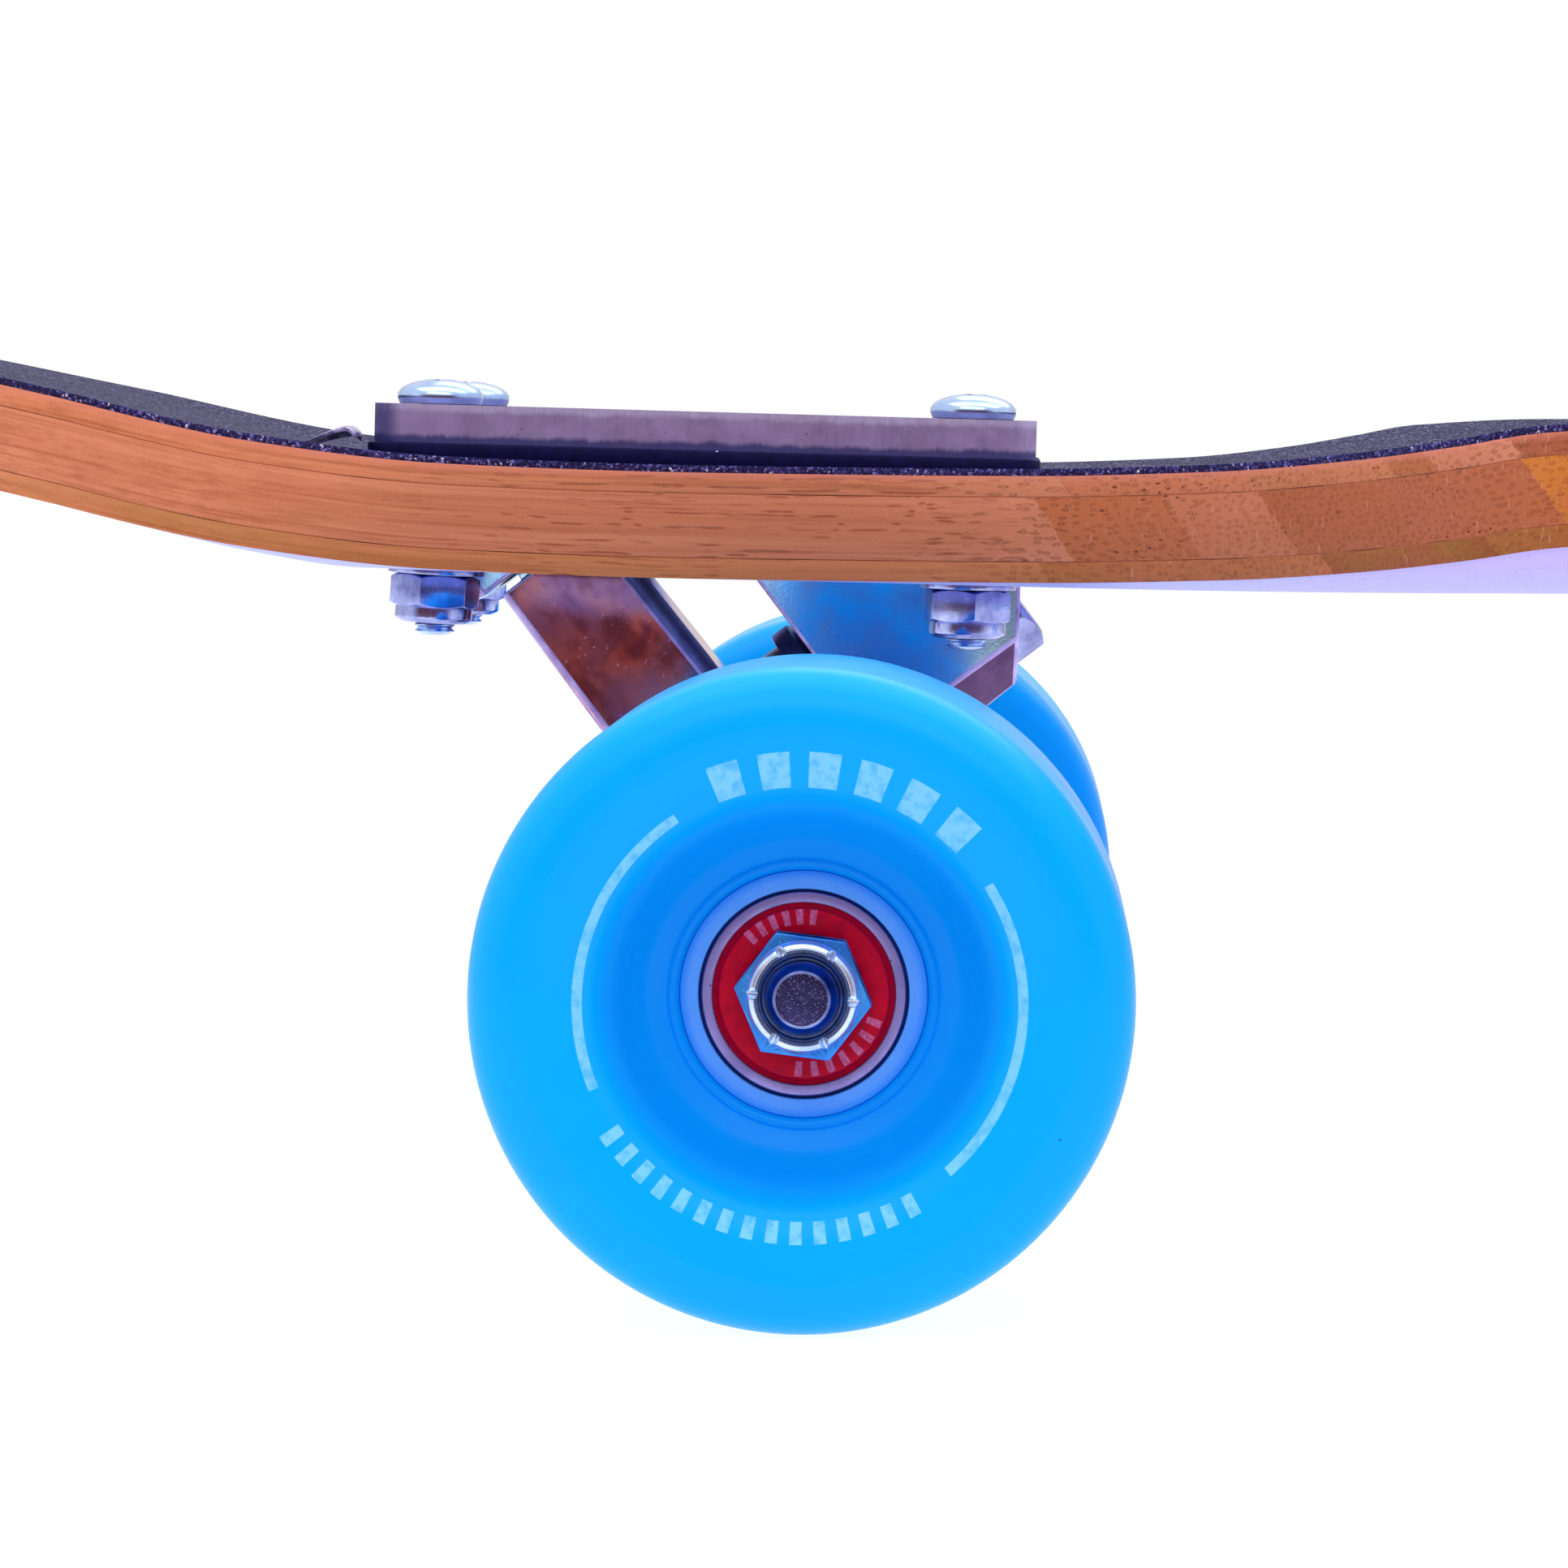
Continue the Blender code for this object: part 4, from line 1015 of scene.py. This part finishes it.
def make_axle_nut():
    """Lock nut of the axle: hexagon, round collar with a crimped rim and six nicks. Its outer face is at +5."""
    ob = hex_solid("axle_lock_nut", 12.7, 0.0, 3.55, 0.93, 0.97, [AXLE_HEX, AXLE_NUT], bore=3.97)
    prof = rounded([(4.72, 2.9), (5.98, 2.9), (6.02, 3.9), (5.7, 4.75), (5.15, 5.0), (4.72, 4.62)], 0.22, 4)
    col = mesh_obj("crown", turned(prof, 72), [AXLE_HEX, AXLE_NUT])
    for p in col.data.polygons:
        p.material_index = 1
    cut(ob, [col], "UNION")
    nicks = []
    for k in range(6):
        a = math.radians(60 * k + 3)
        bm = hull([(4.3, -0.10, 4.25), (4.3, 0.10, 4.25), (6.4, -0.10, 4.0), (6.4, 0.10, 4.0),
                   (4.3, -0.75, 5.5), (4.3, 0.75, 5.5), (6.4, -0.75, 5.5), (6.4, 0.75, 5.5)])
        bmesh.ops.transform(bm, matrix=Matrix.Rotation(a, 4, "Z"), verts=bm.verts[:])
        nicks.append(mesh_obj("nick", bm, [AXLE_HEX, AXLE_NUT], smooth=False))
        for p in nicks[-1].data.polygons:
            p.material_index = 1
    cut(ob, nicks)
    bevel(ob, 0.07, 2, 40)
    return ob


BOLT = make_bolt()
LOCK_NUT = make_lock_nut()
FLAT_WASHER = mesh_obj("flat_washer", turned(rounded([(2.55, -12.02), (5.75, -12.02), (5.75, -12.82), (2.55, -12.82)], 0.16, 3), 48), NUT_ZINC)
AX_NUT = make_axle_nut()
AX_RING = mesh_obj("nylon_ring", turned(rounded([(3.96, 3.42), (4.70, 3.42), (4.70, 4.72), (4.5, 4.92), (4.25, 4.74), (3.96, 4.86)], 0.1, 3), 72), NYLON)
RACE_OUT = mesh_obj("outer_race", turned(rounded([(9.78, 3.5), (10.86, 3.5, 0.28), (10.86, -3.5, 0.28), (9.78, -3.5), (9.4, -2.6), (9.4, 2.6)], 0.06, 3), 112), RACE)
RACE_IN = mesh_obj("inner_race", turned(rounded([(4.02, 3.5, 0.2), (6.1, 3.5), (6.1, -3.5), (4.02, -3.5, 0.2)], 0.08, 3), 72), RACE)
SHIELD_RING = mesh_obj("shield", turned(rounded([(6.22, 3.18), (6.5, 3.36), (8.95, 3.40), (9.2, 3.22), (9.42, 3.02), (9.72, 3.30), (9.72, 2.75), (6.22, 2.75)], 0.1, 3), 112), SHIELD)
SPACER = mesh_obj("bearing_spacer", turned(rounded([(4.15, 5.0 - 0.02), (5.1, 4.98), (5.1, -4.98), (4.15, -4.98)], 0.1, 2), 40), ZINC)
SPEED = mesh_obj("speed_washer", turned(rounded([(4.2, 0.45), (6.0, 0.45), (6.0, -0.45), (4.2, -0.45)], 0.1, 2), 40), ZINC)


def tyre_profile():
    """Outer side first, then round the inner edge, and back through the bore."""
    o, i, m = WHEEL_OUT - WHEEL_MID, WHEEL_IN - WHEEL_MID, -WHEEL_MID
    dish = [(13.12, 112.9 + m), (13.5, 113.55 + m), (14.1, 113.75 + m), (14.45, 113.55 + m), (14.8, 113.8 + m), (16.2, 114.3 + m),
            (17.4, 115.2 + m), (18.4, 116.9 + m), (19.2, 119.2 + m), (20.0, 121.8 + m), (20.9, 124.0 + m), (21.9, 125.5 + m),
            (23.2, 126.5 + m), (25.0, 127.1 + m), (27.5, 127.55 + m), (29.2, 127.75 + m)]
    pts = list(dish)
    r0 = 5.6
    for k in range(0, 13):
        a = math.radians(90 - 7.5 * k)
        pts.append((WHEEL_R - r0 + r0 * math.cos(a), o - 0.25 - r0 + r0 * math.sin(a)))
    pts[-13:] = [(max(29.4, p[0]), p[1]) for p in pts[-13:]]
    for h in (18, 12, 6, 0, -6, -12, -18):
        pts.append((WHEEL_R, h * (1.0)))
    for k in range(0, 13):
        a = math.radians(-7.5 * k)
        pts.append((WHEEL_R - r0 + r0 * math.cos(a), i + r0 + r0 * math.sin(a)))
    pts += [(27.0, i + 0.15), (24.5, i + 0.7), (22.5, i + 1.8), (20.8, i + 4.2), (19.2, i + 7.6), (17.0, i + 9.8), (14.6, i + 10.9), (13.5, i + 11.3), (13.12, i + 11.9)]
    pts += [(13.12, -8.5), (16.6, -7.3), (16.6, 3.9), (13.12, 5.2)]
    return pts


def core_profile():
    m = -WHEEL_MID
    return rounded([(11.18, 113.35 + m, 0.25), (13.12, 113.1 + m, 0.08), (13.12, 107.7 + m), (16.5, 106.5 + m), (16.5, 95.2 + m), (13.12, 94.0 + m),
                    (13.12, 88.9 + m, 0.08), (11.18, 88.9 + m, 0.25), (11.18, 96.2 + m), (9.2, 96.2 + m), (9.2, 105.8 + m), (11.18, 105.8 + m)], 0.12, 3)


TYRE = mesh_obj("tyre", turned(tyre_profile(), 160), URETHANE, sharp=60)
CORE_MESH = mesh_obj("core", turned(core_profile(), 112), CORE, sharp=35)
# a dark ring in the seam between the bearing's outer race and the core: painted shade in that gap
GAP_RING = mesh_obj("core_gap_shade", turned([(10.87, 112.55 - WHEEL_MID), (11.17, 112.55 - WHEEL_MID), (11.17, 106.0 - WHEEL_MID), (10.87, 106.0 - WHEEL_MID)], 112), RACE_DARK)


def axle_mesh():
    p = [(0, 120.62), (2.75, 120.62), (3.05, 120.52)] + [(3.4, 120.0)]
    p += thread(3.93, 106.0, 119.3, 1.0)[:-3] + [(3.93, 105.5), (3.93, -105.5)]
    p += [(r, -h) for r, h in reversed(thread(3.93, 106.0, 119.3, 1.0)[:-3])]
    p += [(3.4, -120.0), (3.05, -120.52), (2.75, -120.62), (0, -120.62)]
    return rot_to(turned(p, 56), "Y")


def local_to_side(a, b):
    c, s = math.cos(STEER), math.sin(STEER)
    return (a * c - b * s, WHEEL_R + a * s + b * c)


def build_truck(end):
    root, plate, steer = frames(end)
    kp = steer @ Matrix.Translation((0, 0, KP_B * MM))
    hanger_body = end + "_hanger_assembly"

    def put(ob, frame_m, body, nodes=()):
        ob.matrix_world = frame_m
        return shown(ob, body, [end + "_" + n for n in nodes])

    # riser pad, with the same cut-out as the deck
    pad = mesh_obj(end + "_pad", slab(-39.7, 39.9, 30.0, 0.87, 2.83, 3.0), PADMAT)
    pad.matrix_world = plate
    cut(pad, [o for o in deck_cutters("pad") if (o.matrix_world.translation - plate.translation).length < 0.1 or bpy.data.objects.remove(o, do_unlink=True)])
    bevel(pad, 0.25, 2)
    put(pad, plate, "board", ["riser_pad"])

    # baseplate: flange, kingpin block and pivot boss, one casting
    metals = [CAST_SIDE, CAST, CAST_DULL, EDGE, CAST_TOP]
    base = mesh_obj(end + "_plate", slab(-39.05, 39.35, 29.0, 2.85, 7.4, 3.2, 10), metals, smooth=False)
    base.matrix_world = plate
    low_b, edge_b, half, low_half = 9.15, 14.4, 14.0, 8.6
    s_low, s_edge = local_to_side(SEAT_A, low_b), local_to_side(SEAT_A, edge_b)
    pts = []
    for sy in (-1, 1):
        pts += [(s_low[0], sy * low_half, s_low[1]), (s_edge[0], sy * half, s_edge[1]), (22.4, sy * low_half, 64.0),
                (22.7, sy * half, 69.6), (23.4, sy * half, 94.0), (local_to_side(SEAT_A, 60.3)[0], sy * half, 94.0)]
    block = mesh_obj("block", hull(pts), metals, smooth=False)
    cl, cr = local_to_side(-11.4, 57.0), local_to_side(11.4, 57.0)
    pts = []
    for sy in (-1, 1):
        for dx, hy in ((0.0, 9.6), (1.6, 11.4)):
            pts += [(-47.6 + dx, sy * hy, 95.0), (-47.6 + dx, sy * hy, 79.4), (cl[0] + dx, sy * hy, cl[1] + dx * 0.6),
                    (cr[0] - dx, sy * hy, cr[1] - dx * 0.6), (cr[0] - dx, sy * hy, 94.5)]
    boss = mesh_obj("boss", hull(pts), metals, smooth=False)
    for o in (block, boss):
        o.matrix_world = root
        for p in o.data.polygons:
            # faces pointing down and sideways get the dull material, whose darker colour is painted shade
            p.material_index = 2 if p.normal.z < -0.2 and abs(p.normal.y) > 0.3 else 1
        # the bevels take the painted edge highlight (material 3)
        bevel(o, 0.45, 3, 20, mat=3)
    cut(base, [block, boss], "UNION")
    tools = []
    for r, lo, hi, m in ((KP_R + 0.35, SEAT_A - 5, 60, kp), (8.9, SEAT_A + 17.0, 60, kp)):
        t = mesh_obj("bore", rot_to(turned([(0, hi), (r, hi), (r, lo), (0, lo)], 48), "X"), CAST, smooth=False)
        t.matrix_world = m
        tools.append(t)
    t = mesh_obj("pocket", turned([(0, 68.3), (8.3, 68.3), (8.3, 50), (0, 50)], 48), CAST, smooth=False)
    t.matrix_world = steer
    tools.append(t)
    for sx, sy in CORNERS:
        h = mesh_obj("hole", turned([(0, 12), (2.75, 12), (2.75, -5), (0, -5)], 32), CAST, smooth=False)
        h.matrix_world = plate @ Matrix.Translation(Vector((sx * BOLT_DX, sy * BOLT_DY, 0)) * MM)
        tools.append(h)
    cut(base, tools)
    for p in base.data.polygons:
        if p.normal.z > 0.95 and p.center.z > 7.0 * MM:
            p.material_index = 4
    # the bevels take the painted edge highlight (material 3)
    bevel(base, 0.3, 2, 38, mat=3)
    put(base, plate, "board", ["baseplate"])

    # pivot cup
    cup = mesh_obj(end + "_cup", turned(rounded([(0, 68.2), (8.15, 68.2), (8.15, 57.3), (6.0, 57.3), (5.95, 63.5), (4.0, 65.6), (0, 66.3)], 0.4, 3), 48), BLACK)
    put(cup, steer, "board", ["pivot_cup"])

    # kingpin and what it carries
    def on_pin(name, prof, mat, nodes=(), n=64, body="board"):
        ob = mesh_obj(end + name, rot_to(turned(prof, n), "X"), mat)
        return put(ob, kp, body, nodes)
    pin_p = [(0, 35.9), (KP_R, 35.9), (KP_R, -10)] + thread(KP_R, -29.1, -10.2, 1.25) + [(0, -29.1)]
    on_pin("_pin", pin_p, ZINC, ["kingpin"])
    head = hex_solid(end + "_pin_head", 14.3, 35.2, 41.5, 0.95, 0, NUT_ZINC)
    bm = bmesh.new(); bm.from_mesh(head.data); rot_to(bm, "X"); bm.to_mesh(head.data); bm.free()
    put(head, kp, "board")
    nut = hex_solid(end + "_pin_nut", 14.3, -27.0, -20.45, 0.97, 0.97, ZINC, bore=KP_R + 0.1)
    bm = bmesh.new(); bm.from_mesh(nut.data); rot_to(bm, "X"); bm.to_mesh(nut.data); bm.free()
    put(nut, kp, "board", ["kingpin_nut"])
    on_pin("_cup_washer_board", rounded([(5.0, SEAT_A - 0.05), (10.6, SEAT_A - 0.05, 0.8), (12.5, SEAT_A - 0.9, 0.6), (12.5, 14.6), (11.7, 14.6), (11.35, 15.3), (10.6, 15.95), (5.0, 15.95)], 0.2, 3), DARK, ["washer_boardside"])
    def rings(prof, step=0.8):
        """Split a profile's long edges into short pieces."""
        out = []
        for p, q in zip(prof, prof[1:] + prof[:1]):
            n = max(1, int(abs(q[1] - p[1]) / step))
            out += [(p[0] + (q[0] - p[0]) * k / n, p[1] + (q[1] - p[1]) * k / n) for k in range(n)]
        return out

    def bushing(name, prof, node):
        """Urethane between the board's seat at a and the hanger's at b (heights along the kingpin)."""
        ob = mesh_obj(end + name, rot_to(turned(rings(rounded(prof, 0.5, 4)), 64), "X"), BLACK)
        ob.matrix_world = kp
        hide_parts(end + "_" + node)
        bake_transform(ob)

    bushing("_bushing_board", [(5.0, 15.9), (10.5, 15.9), (11.1, 14.6), (11.1, 12.0), (10.7, 6.2), (10.5, 4.05), (5.0, 4.05)], "bushing_boardside")
    bushing("_bushing_road", [(5.0, -5.65), (10.6, -5.65), (11.0, -7.2), (10.9, -9.5), (9.6, -14.0), (8.6, -18.3), (5.0, -18.3)], "bushing_roadside")
    on_pin("_cup_washer_road", rounded([(5.0, -18.35), (8.9, -18.35), (9.6, -17.2), (10.5, -17.0), (10.6, -18.6), (9.7, -20.3), (5.0, -20.3)], 0.25, 3), DARK, ["washer_roadside"])

    # hanger
    bm = bmesh.new()
    keys = [(88.0, 7.6, 7.6, 0.0), (78.0, 7.7, 7.8, 0.0), (66, 8.0, 8.4, 0.4), (52, 8.4, 9.6, 1.4), (40, 9.0, 11.0, 3.0), (28, 9.9, 13.4, 5.6), (18, 10.5, 15.0, 7.5), (8, 10.6, 15.6, 8.0)]
    ys = [-88 + 4 * k for k in range(45)]
    rings = []
    tab = sorted([(-y, ha, hb, b0) for y, ha, hb, b0 in keys] + keys)
    for y in ys:
        ha, hb, b0 = (curve([(t[0], t[q]) for t in tab], y) for q in (1, 2, 3))
        ring = []
        for k in range(40):
            a = 2 * math.pi * (k + 0.5) / 40
            ca, sa = math.cos(a), math.sin(a)
            pw = 0.86
            ring.append(bm.verts.new((math.copysign(abs(ca) ** pw, ca) * ha * MM, y * MM, (b0 + math.copysign(abs(sa) ** pw, sa) * hb) * MM)))
        rings.append(ring)
    for p, q in zip(rings[:-1], rings[1:]):
        for k in range(40):
            bm.faces.new((p[k], p[(k + 1) % 40], q[(k + 1) % 40], q[k]))
    bm.faces.new(rings[0]); bm.faces.new(rings[-1][::-1])
    hanger = mesh_obj(end + "_truck_hanger", bm, [CAST, POLISH, EDGE, STRIP], smooth=False)
    hanger.matrix_world = steer
    ring = mesh_obj("ring", rot_to(turned(rounded([(0, 4.5), (16.2, 4.5), (16.2, -6.1), (0, -6.1)], 0.9, 4), 72), "X"), [CAST, POLISH, EDGE, STRIP], smooth=False)
    ring.matrix_world = kp
    stem = mesh_obj("stem", hull([(a, sy * hy, b) for sy in (-1, 1) for a, hy, b in
                                  ((-8.35, 8.6, 16), (-8.35, 8.6, 34), (-8.1, 8.6, 55.6), (-7.6, 9.0, 16), (-7.6, 9.0, 55.6),
                                   (4.9, 9.0, 55.6), (5.6, 9.0, 34), (5.8, 9.0, 16), (6.9, 6.4, 55.6), (7.5, 6.4, 34), (7.6, 6.4, 16))]), [CAST, POLISH, EDGE, STRIP], smooth=False)
    stem.matrix_world = steer
    for p in stem.data.polygons:
        p.material_index = 3 if 0.2 < abs(p.normal.y) < 0.93 and p.normal.x > 0 else 1
    # the stem's bevels take the painted edge highlight (material 2)
    bevel(stem, 0.35, 3, 12, mat=2)
    nose = mesh_obj("nose", turned([(0, 65.3), (1.8, 65.1), (3.4, 64.4), (4.6, 63.2), (5.2, 61.8), (5.7, 55.9), (7.0, 55.2), (7.0, 50.0), (0, 50.0)], 40), [CAST, POLISH, EDGE, STRIP], smooth=False)
    nose.matrix_world = steer
    cut(hanger, [ring, stem, nose], "UNION")
    tools = []
    for r, lo, hi, m, ax in ((11.7, 4.0, 30, kp, "X"), (11.7, -30, -5.6, kp, "X"), (7.25, -12, 12, kp, "X"), (4.0, -100, 100, steer, "Y")):
        t = mesh_obj("bore", rot_to(turned([(0, hi), (r, hi), (r, lo), (0, lo)], 56), ax), [CAST, POLISH, EDGE, STRIP], smooth=False)
        t.matrix_world = m
        tools.append(t)
    cut(hanger, tools)
    hanger.data.shade_smooth()
    hanger.data.set_sharp_from_angle(angle=math.radians(34))
    put(hanger, steer, hanger_body, ["hanger"])

    axle = mesh_obj(end + "_axle_rod", axle_mesh(), [ZINC, AXLE_RAW, THREAD_DARK, AXLE_RIM], sharp=40)
    for p in axle.data.polygons:
        out = min(abs(axle.data.vertices[v].co.y) for v in p.vertices)
        # index 3 is the thin edge ring with the painted highlight
        p.material_index = 1 if out > 0.12061 else 3 if out > 0.12051 else 2 if out > 0.1055 else 0
    put(axle, steer, hanger_body, ["axle"])

    # mounting hardware
    rng = random.Random(11 if end == "front" else 12)
    spin = {(-1, -1): 16.0, (1, -1): -20.0}
    tilt = {(-1, -1): 2.2, (-1, 1): 2.0}          # the outer nuts sit on the rising underside
    for k, (sx, sy) in enumerate(CORNERS):
        at = plate @ Matrix.Translation(Vector((sx * BOLT_DX, sy * BOLT_DY, 0)) * MM)
        put(twin(BOLT, "%s_mounting_bolt_%d" % (end, k + 1)), at @ Matrix.Rotation(rng.uniform(0, 3), 4, "Z"), "board", ["bolt_%d" % (k + 1)])
        turn = Matrix.Rotation(math.radians(spin.get((sx, sy), rng.uniform(-30, 30))), 4, "Z")
        seat = Matrix.Translation((0, 0, -12.8 * MM))
        lean = seat @ Matrix.Rotation(math.radians(tilt.get((sx, sy), 0.0)), 4, "Y") @ seat.inverted()
        put(twin(LOCK_NUT, "%s_lock_nut_%d" % (end, k + 1)), at @ lean @ turn, "board", ["bolt_nut_%d" % (k + 1)])
        put(twin(FLAT_WASHER, "%s_flat_washer_%d" % (end, k + 1)), at @ lean, "board")

    # wheels
    for side, sign in (("right", -1), ("left", 1)):
        real = side if end == "front" else {"right": "left", "left": "right"}[side]
        tag = "%s_%s_" % (end, real)
        hub = root @ Matrix.Translation(Vector((0, sign * WHEEL_MID, WHEEL_R)) * MM) @ Matrix.Rotation(math.radians(-90 * sign), 4, "X")
        body = tag + "wheel"
        flip = Matrix.Rotation(math.pi, 4, "X")
        def rides(ob, m, b, nodes=()):
            ob.matrix_world = m
            return shown(ob, b, [tag + n for n in nodes])
        rides(twin(TYRE, tag + "wheel_tyre"), hub, body, ["tyre"])
        rides(twin(CORE_MESH, tag + "wheel_core"), hub, body, ["core"])
        rides(twin(GAP_RING, tag + "core_gap_shade"), hub, body)
        rides(twin(SPACER, tag + "spacer"), hub @ Matrix.Translation((0, 0, (101.0 - WHEEL_MID) * MM)), body)
        for where, mid, m in (("out", 109.5, Matrix.Identity(4)), ("in", 92.5, flip)):
            place = hub @ Matrix.Translation((0, 0, (mid - WHEEL_MID) * MM)) @ m
            node = "bearing_outboard" if where == "out" else "bearing_inboard"
            rides(twin(RACE_OUT, tag + "outer_race_" + where), place, body, [node])
            rides(twin(RACE_IN, tag + "inner_race_" + where), place, body)
            rides(twin(SHIELD_RING, tag + "shield_" + where), place, body)
        rides(twin(SPEED, tag + "speed_washer_in"), hub @ Matrix.Translation((0, 0, (88.5 - WHEEL_MID) * MM)), hanger_body)
        turn = Matrix.Rotation(math.radians(-7.5), 4, "Z")
        at = hub @ Matrix.Translation((0, 0, (113.1 - WHEEL_MID) * MM)) @ turn
        rides(twin(AX_NUT, tag + "axle_lock_nut"), at, hanger_body, ["axle_nut"])
        rides(twin(AX_RING, tag + "nylon_ring"), at, hanger_body)


for end in ("front", "rear"):
    build_truck(end)
for ob in (BOLT, LOCK_NUT, FLAT_WASHER, AX_NUT, AX_RING, RACE_OUT, RACE_IN, SHIELD_RING, SPACER, SPEED, TYRE, CORE_MESH, GAP_RING):
    bpy.data.objects.remove(ob, do_unlink=True)


# ---- stage, light and camera ------------------------------------------------------
bm = bmesh.new()
bmesh.ops.create_grid(bm, x_segments=1, y_segments=1, size=1.0)
bmesh.ops.scale(bm, vec=(1.5, 0.46, 1), verts=bm.verts[:])
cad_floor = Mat("studio_floor", (0.3, 0.3, 0.31, 1), 0.8, Specular_IOR_Level=0.0)
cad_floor.color(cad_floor.mix(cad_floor.noise(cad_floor.coord((2, 2, 2)), 1.0, 2), (0.29, 0.29, 0.30, 1), (0.31, 0.31, 0.32, 1)))
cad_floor.b.inputs["Emission Color"].default_value = (1, 1, 1, 1)
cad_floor.b.inputs["Emission Strength"].default_value = 0.92
floor = mesh_obj("studio_floor", bm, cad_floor.m, smooth=False)
floor.location.z = -0.0002
floor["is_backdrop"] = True

# A white studio with a darker, warm room low in front and behind, which the bright metal picks up.
world = bpy.data.worlds.new("studio")
bpy.context.scene.world = world
world.use_nodes = True
wt = world.node_tree
bg = wt.nodes["Background"]


def wnode(kind, **props):
    n = wt.nodes.new(kind)
    for key, value in props.items():
        setattr(n, key, value)
    return n


def wmap(value, a, b, c=0.0, d=1.0):
    n = wnode("ShaderNodeMapRange", interpolation_type="SMOOTHSTEP")
    wt.links.new(value, n.inputs[0])
    for q, v in zip((1, 2, 3, 4), (a, b, c, d)):
        n.inputs[q].default_value = v
    return n.outputs[0]


def wmath(op, a, b):
    n = wnode("ShaderNodeMath", operation=op)
    for q, v in ((0, a), (1, b)):
        if isinstance(v, float):
            n.inputs[q].default_value = v
        else:
            wt.links.new(v, n.inputs[q])
    return n.outputs[0]


def wmix(fac, a, b):
    n = wnode("ShaderNodeMix", data_type="RGBA")
    for q, v in ((0, fac), (6, a), (7, b)):
        if isinstance(v, tuple):
            n.inputs[q].default_value = v
        else:
            wt.links.new(v, n.inputs[q])
    return n.outputs[2]


way = wnode("ShaderNodeTexCoord").outputs["Generated"]
sep = wnode("ShaderNodeSeparateXYZ")
wt.links.new(way, sep.inputs[0])
front = wmap(wmath("MULTIPLY", sep.outputs[1], -1.0), 0.45, 0.8)
back = wmath("MULTIPLY", wmap(sep.outputs[1], 0.45, 0.8), 0.22)
side = wmath("ADD", front, back)
low = wmap(sep.outputs[2], 0.22, 0.48, 1.0, 0.0)
warm = wnode("ShaderNodeTexNoise")
warm.inputs["Scale"].default_value = 5.0
wt.links.new(way, warm.inputs["Vector"])
room = wmix(wmap(warm.outputs["Fac"], 0.42, 0.62), (0.13, 0.055, 0.10, 1), (0.30, 0.11, 0.10, 1))
light = wmix(wmath("MULTIPLY", side, low), (1.0, 1.0, 1.0, 1), room)
path = wnode("ShaderNodeLightPath")
wt.links.new(wmix(path.outputs["Is Camera Ray"], light, (1.0, 1.0, 1.0, 1)), bg.inputs["Color"])
bg.inputs["Strength"].default_value = 1.0


def area(name, loc, aim, size, power, color=(1, 1, 1)):
    l = bpy.data.lights.new(name, "AREA")
    l.shape = "RECTANGLE"
    l.size, l.size_y = size
    l.energy = power
    l.color = color
    o = bpy.data.objects.new(name, l)
    o.location = loc
    o.rotation_euler = (Vector(aim) - Vector(loc)).to_track_quat("-Z", "Y").to_euler()
    bpy.context.scene.collection.objects.link(o)
    return o


area("key_top", (0.0, 0.0, 1.5), (0, 0, 0), (2.6, 1.0), 14)
area("key_front", (-0.3, -1.3, 1.35), (0, 0, 0.05), (1.8, 0.7), 7)
area("key_back", (0.3, 1.3, 1.35), (0, 0, 0.05), (1.8, 0.7), 7)

cam_data = bpy.data.cameras.new("camera")
cam_data.lens = 155.3
cam_data.sensor_width = 36.0
cam_data.clip_start = 0.01
cam_data.clip_end = 50.0
cam = bpy.data.objects.new("camera", cam_data)
cam.location = ((-TRUCK_X + 22.57) * MM, -826.5 * MM, 95.3 * MM)
cam.rotation_euler = (math.radians(90 - 3.05), 0, math.radians(1.98))
bpy.context.scene.collection.objects.link(cam)
bpy.context.scene.camera = cam

bpy.context.scene.view_settings.view_transform = "Standard"
bpy.context.scene.view_settings.look = "None"
bpy.context.scene.view_settings.exposure = 0.0
bpy.context.scene.view_settings.gamma = 1.0

bpy.context.view_layer.update()
end_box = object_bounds()


def plain(b):
    return [[float(v) for v in corner] for corner in b]


{"cad": plain(cad_box), "visual": plain(end_box)}
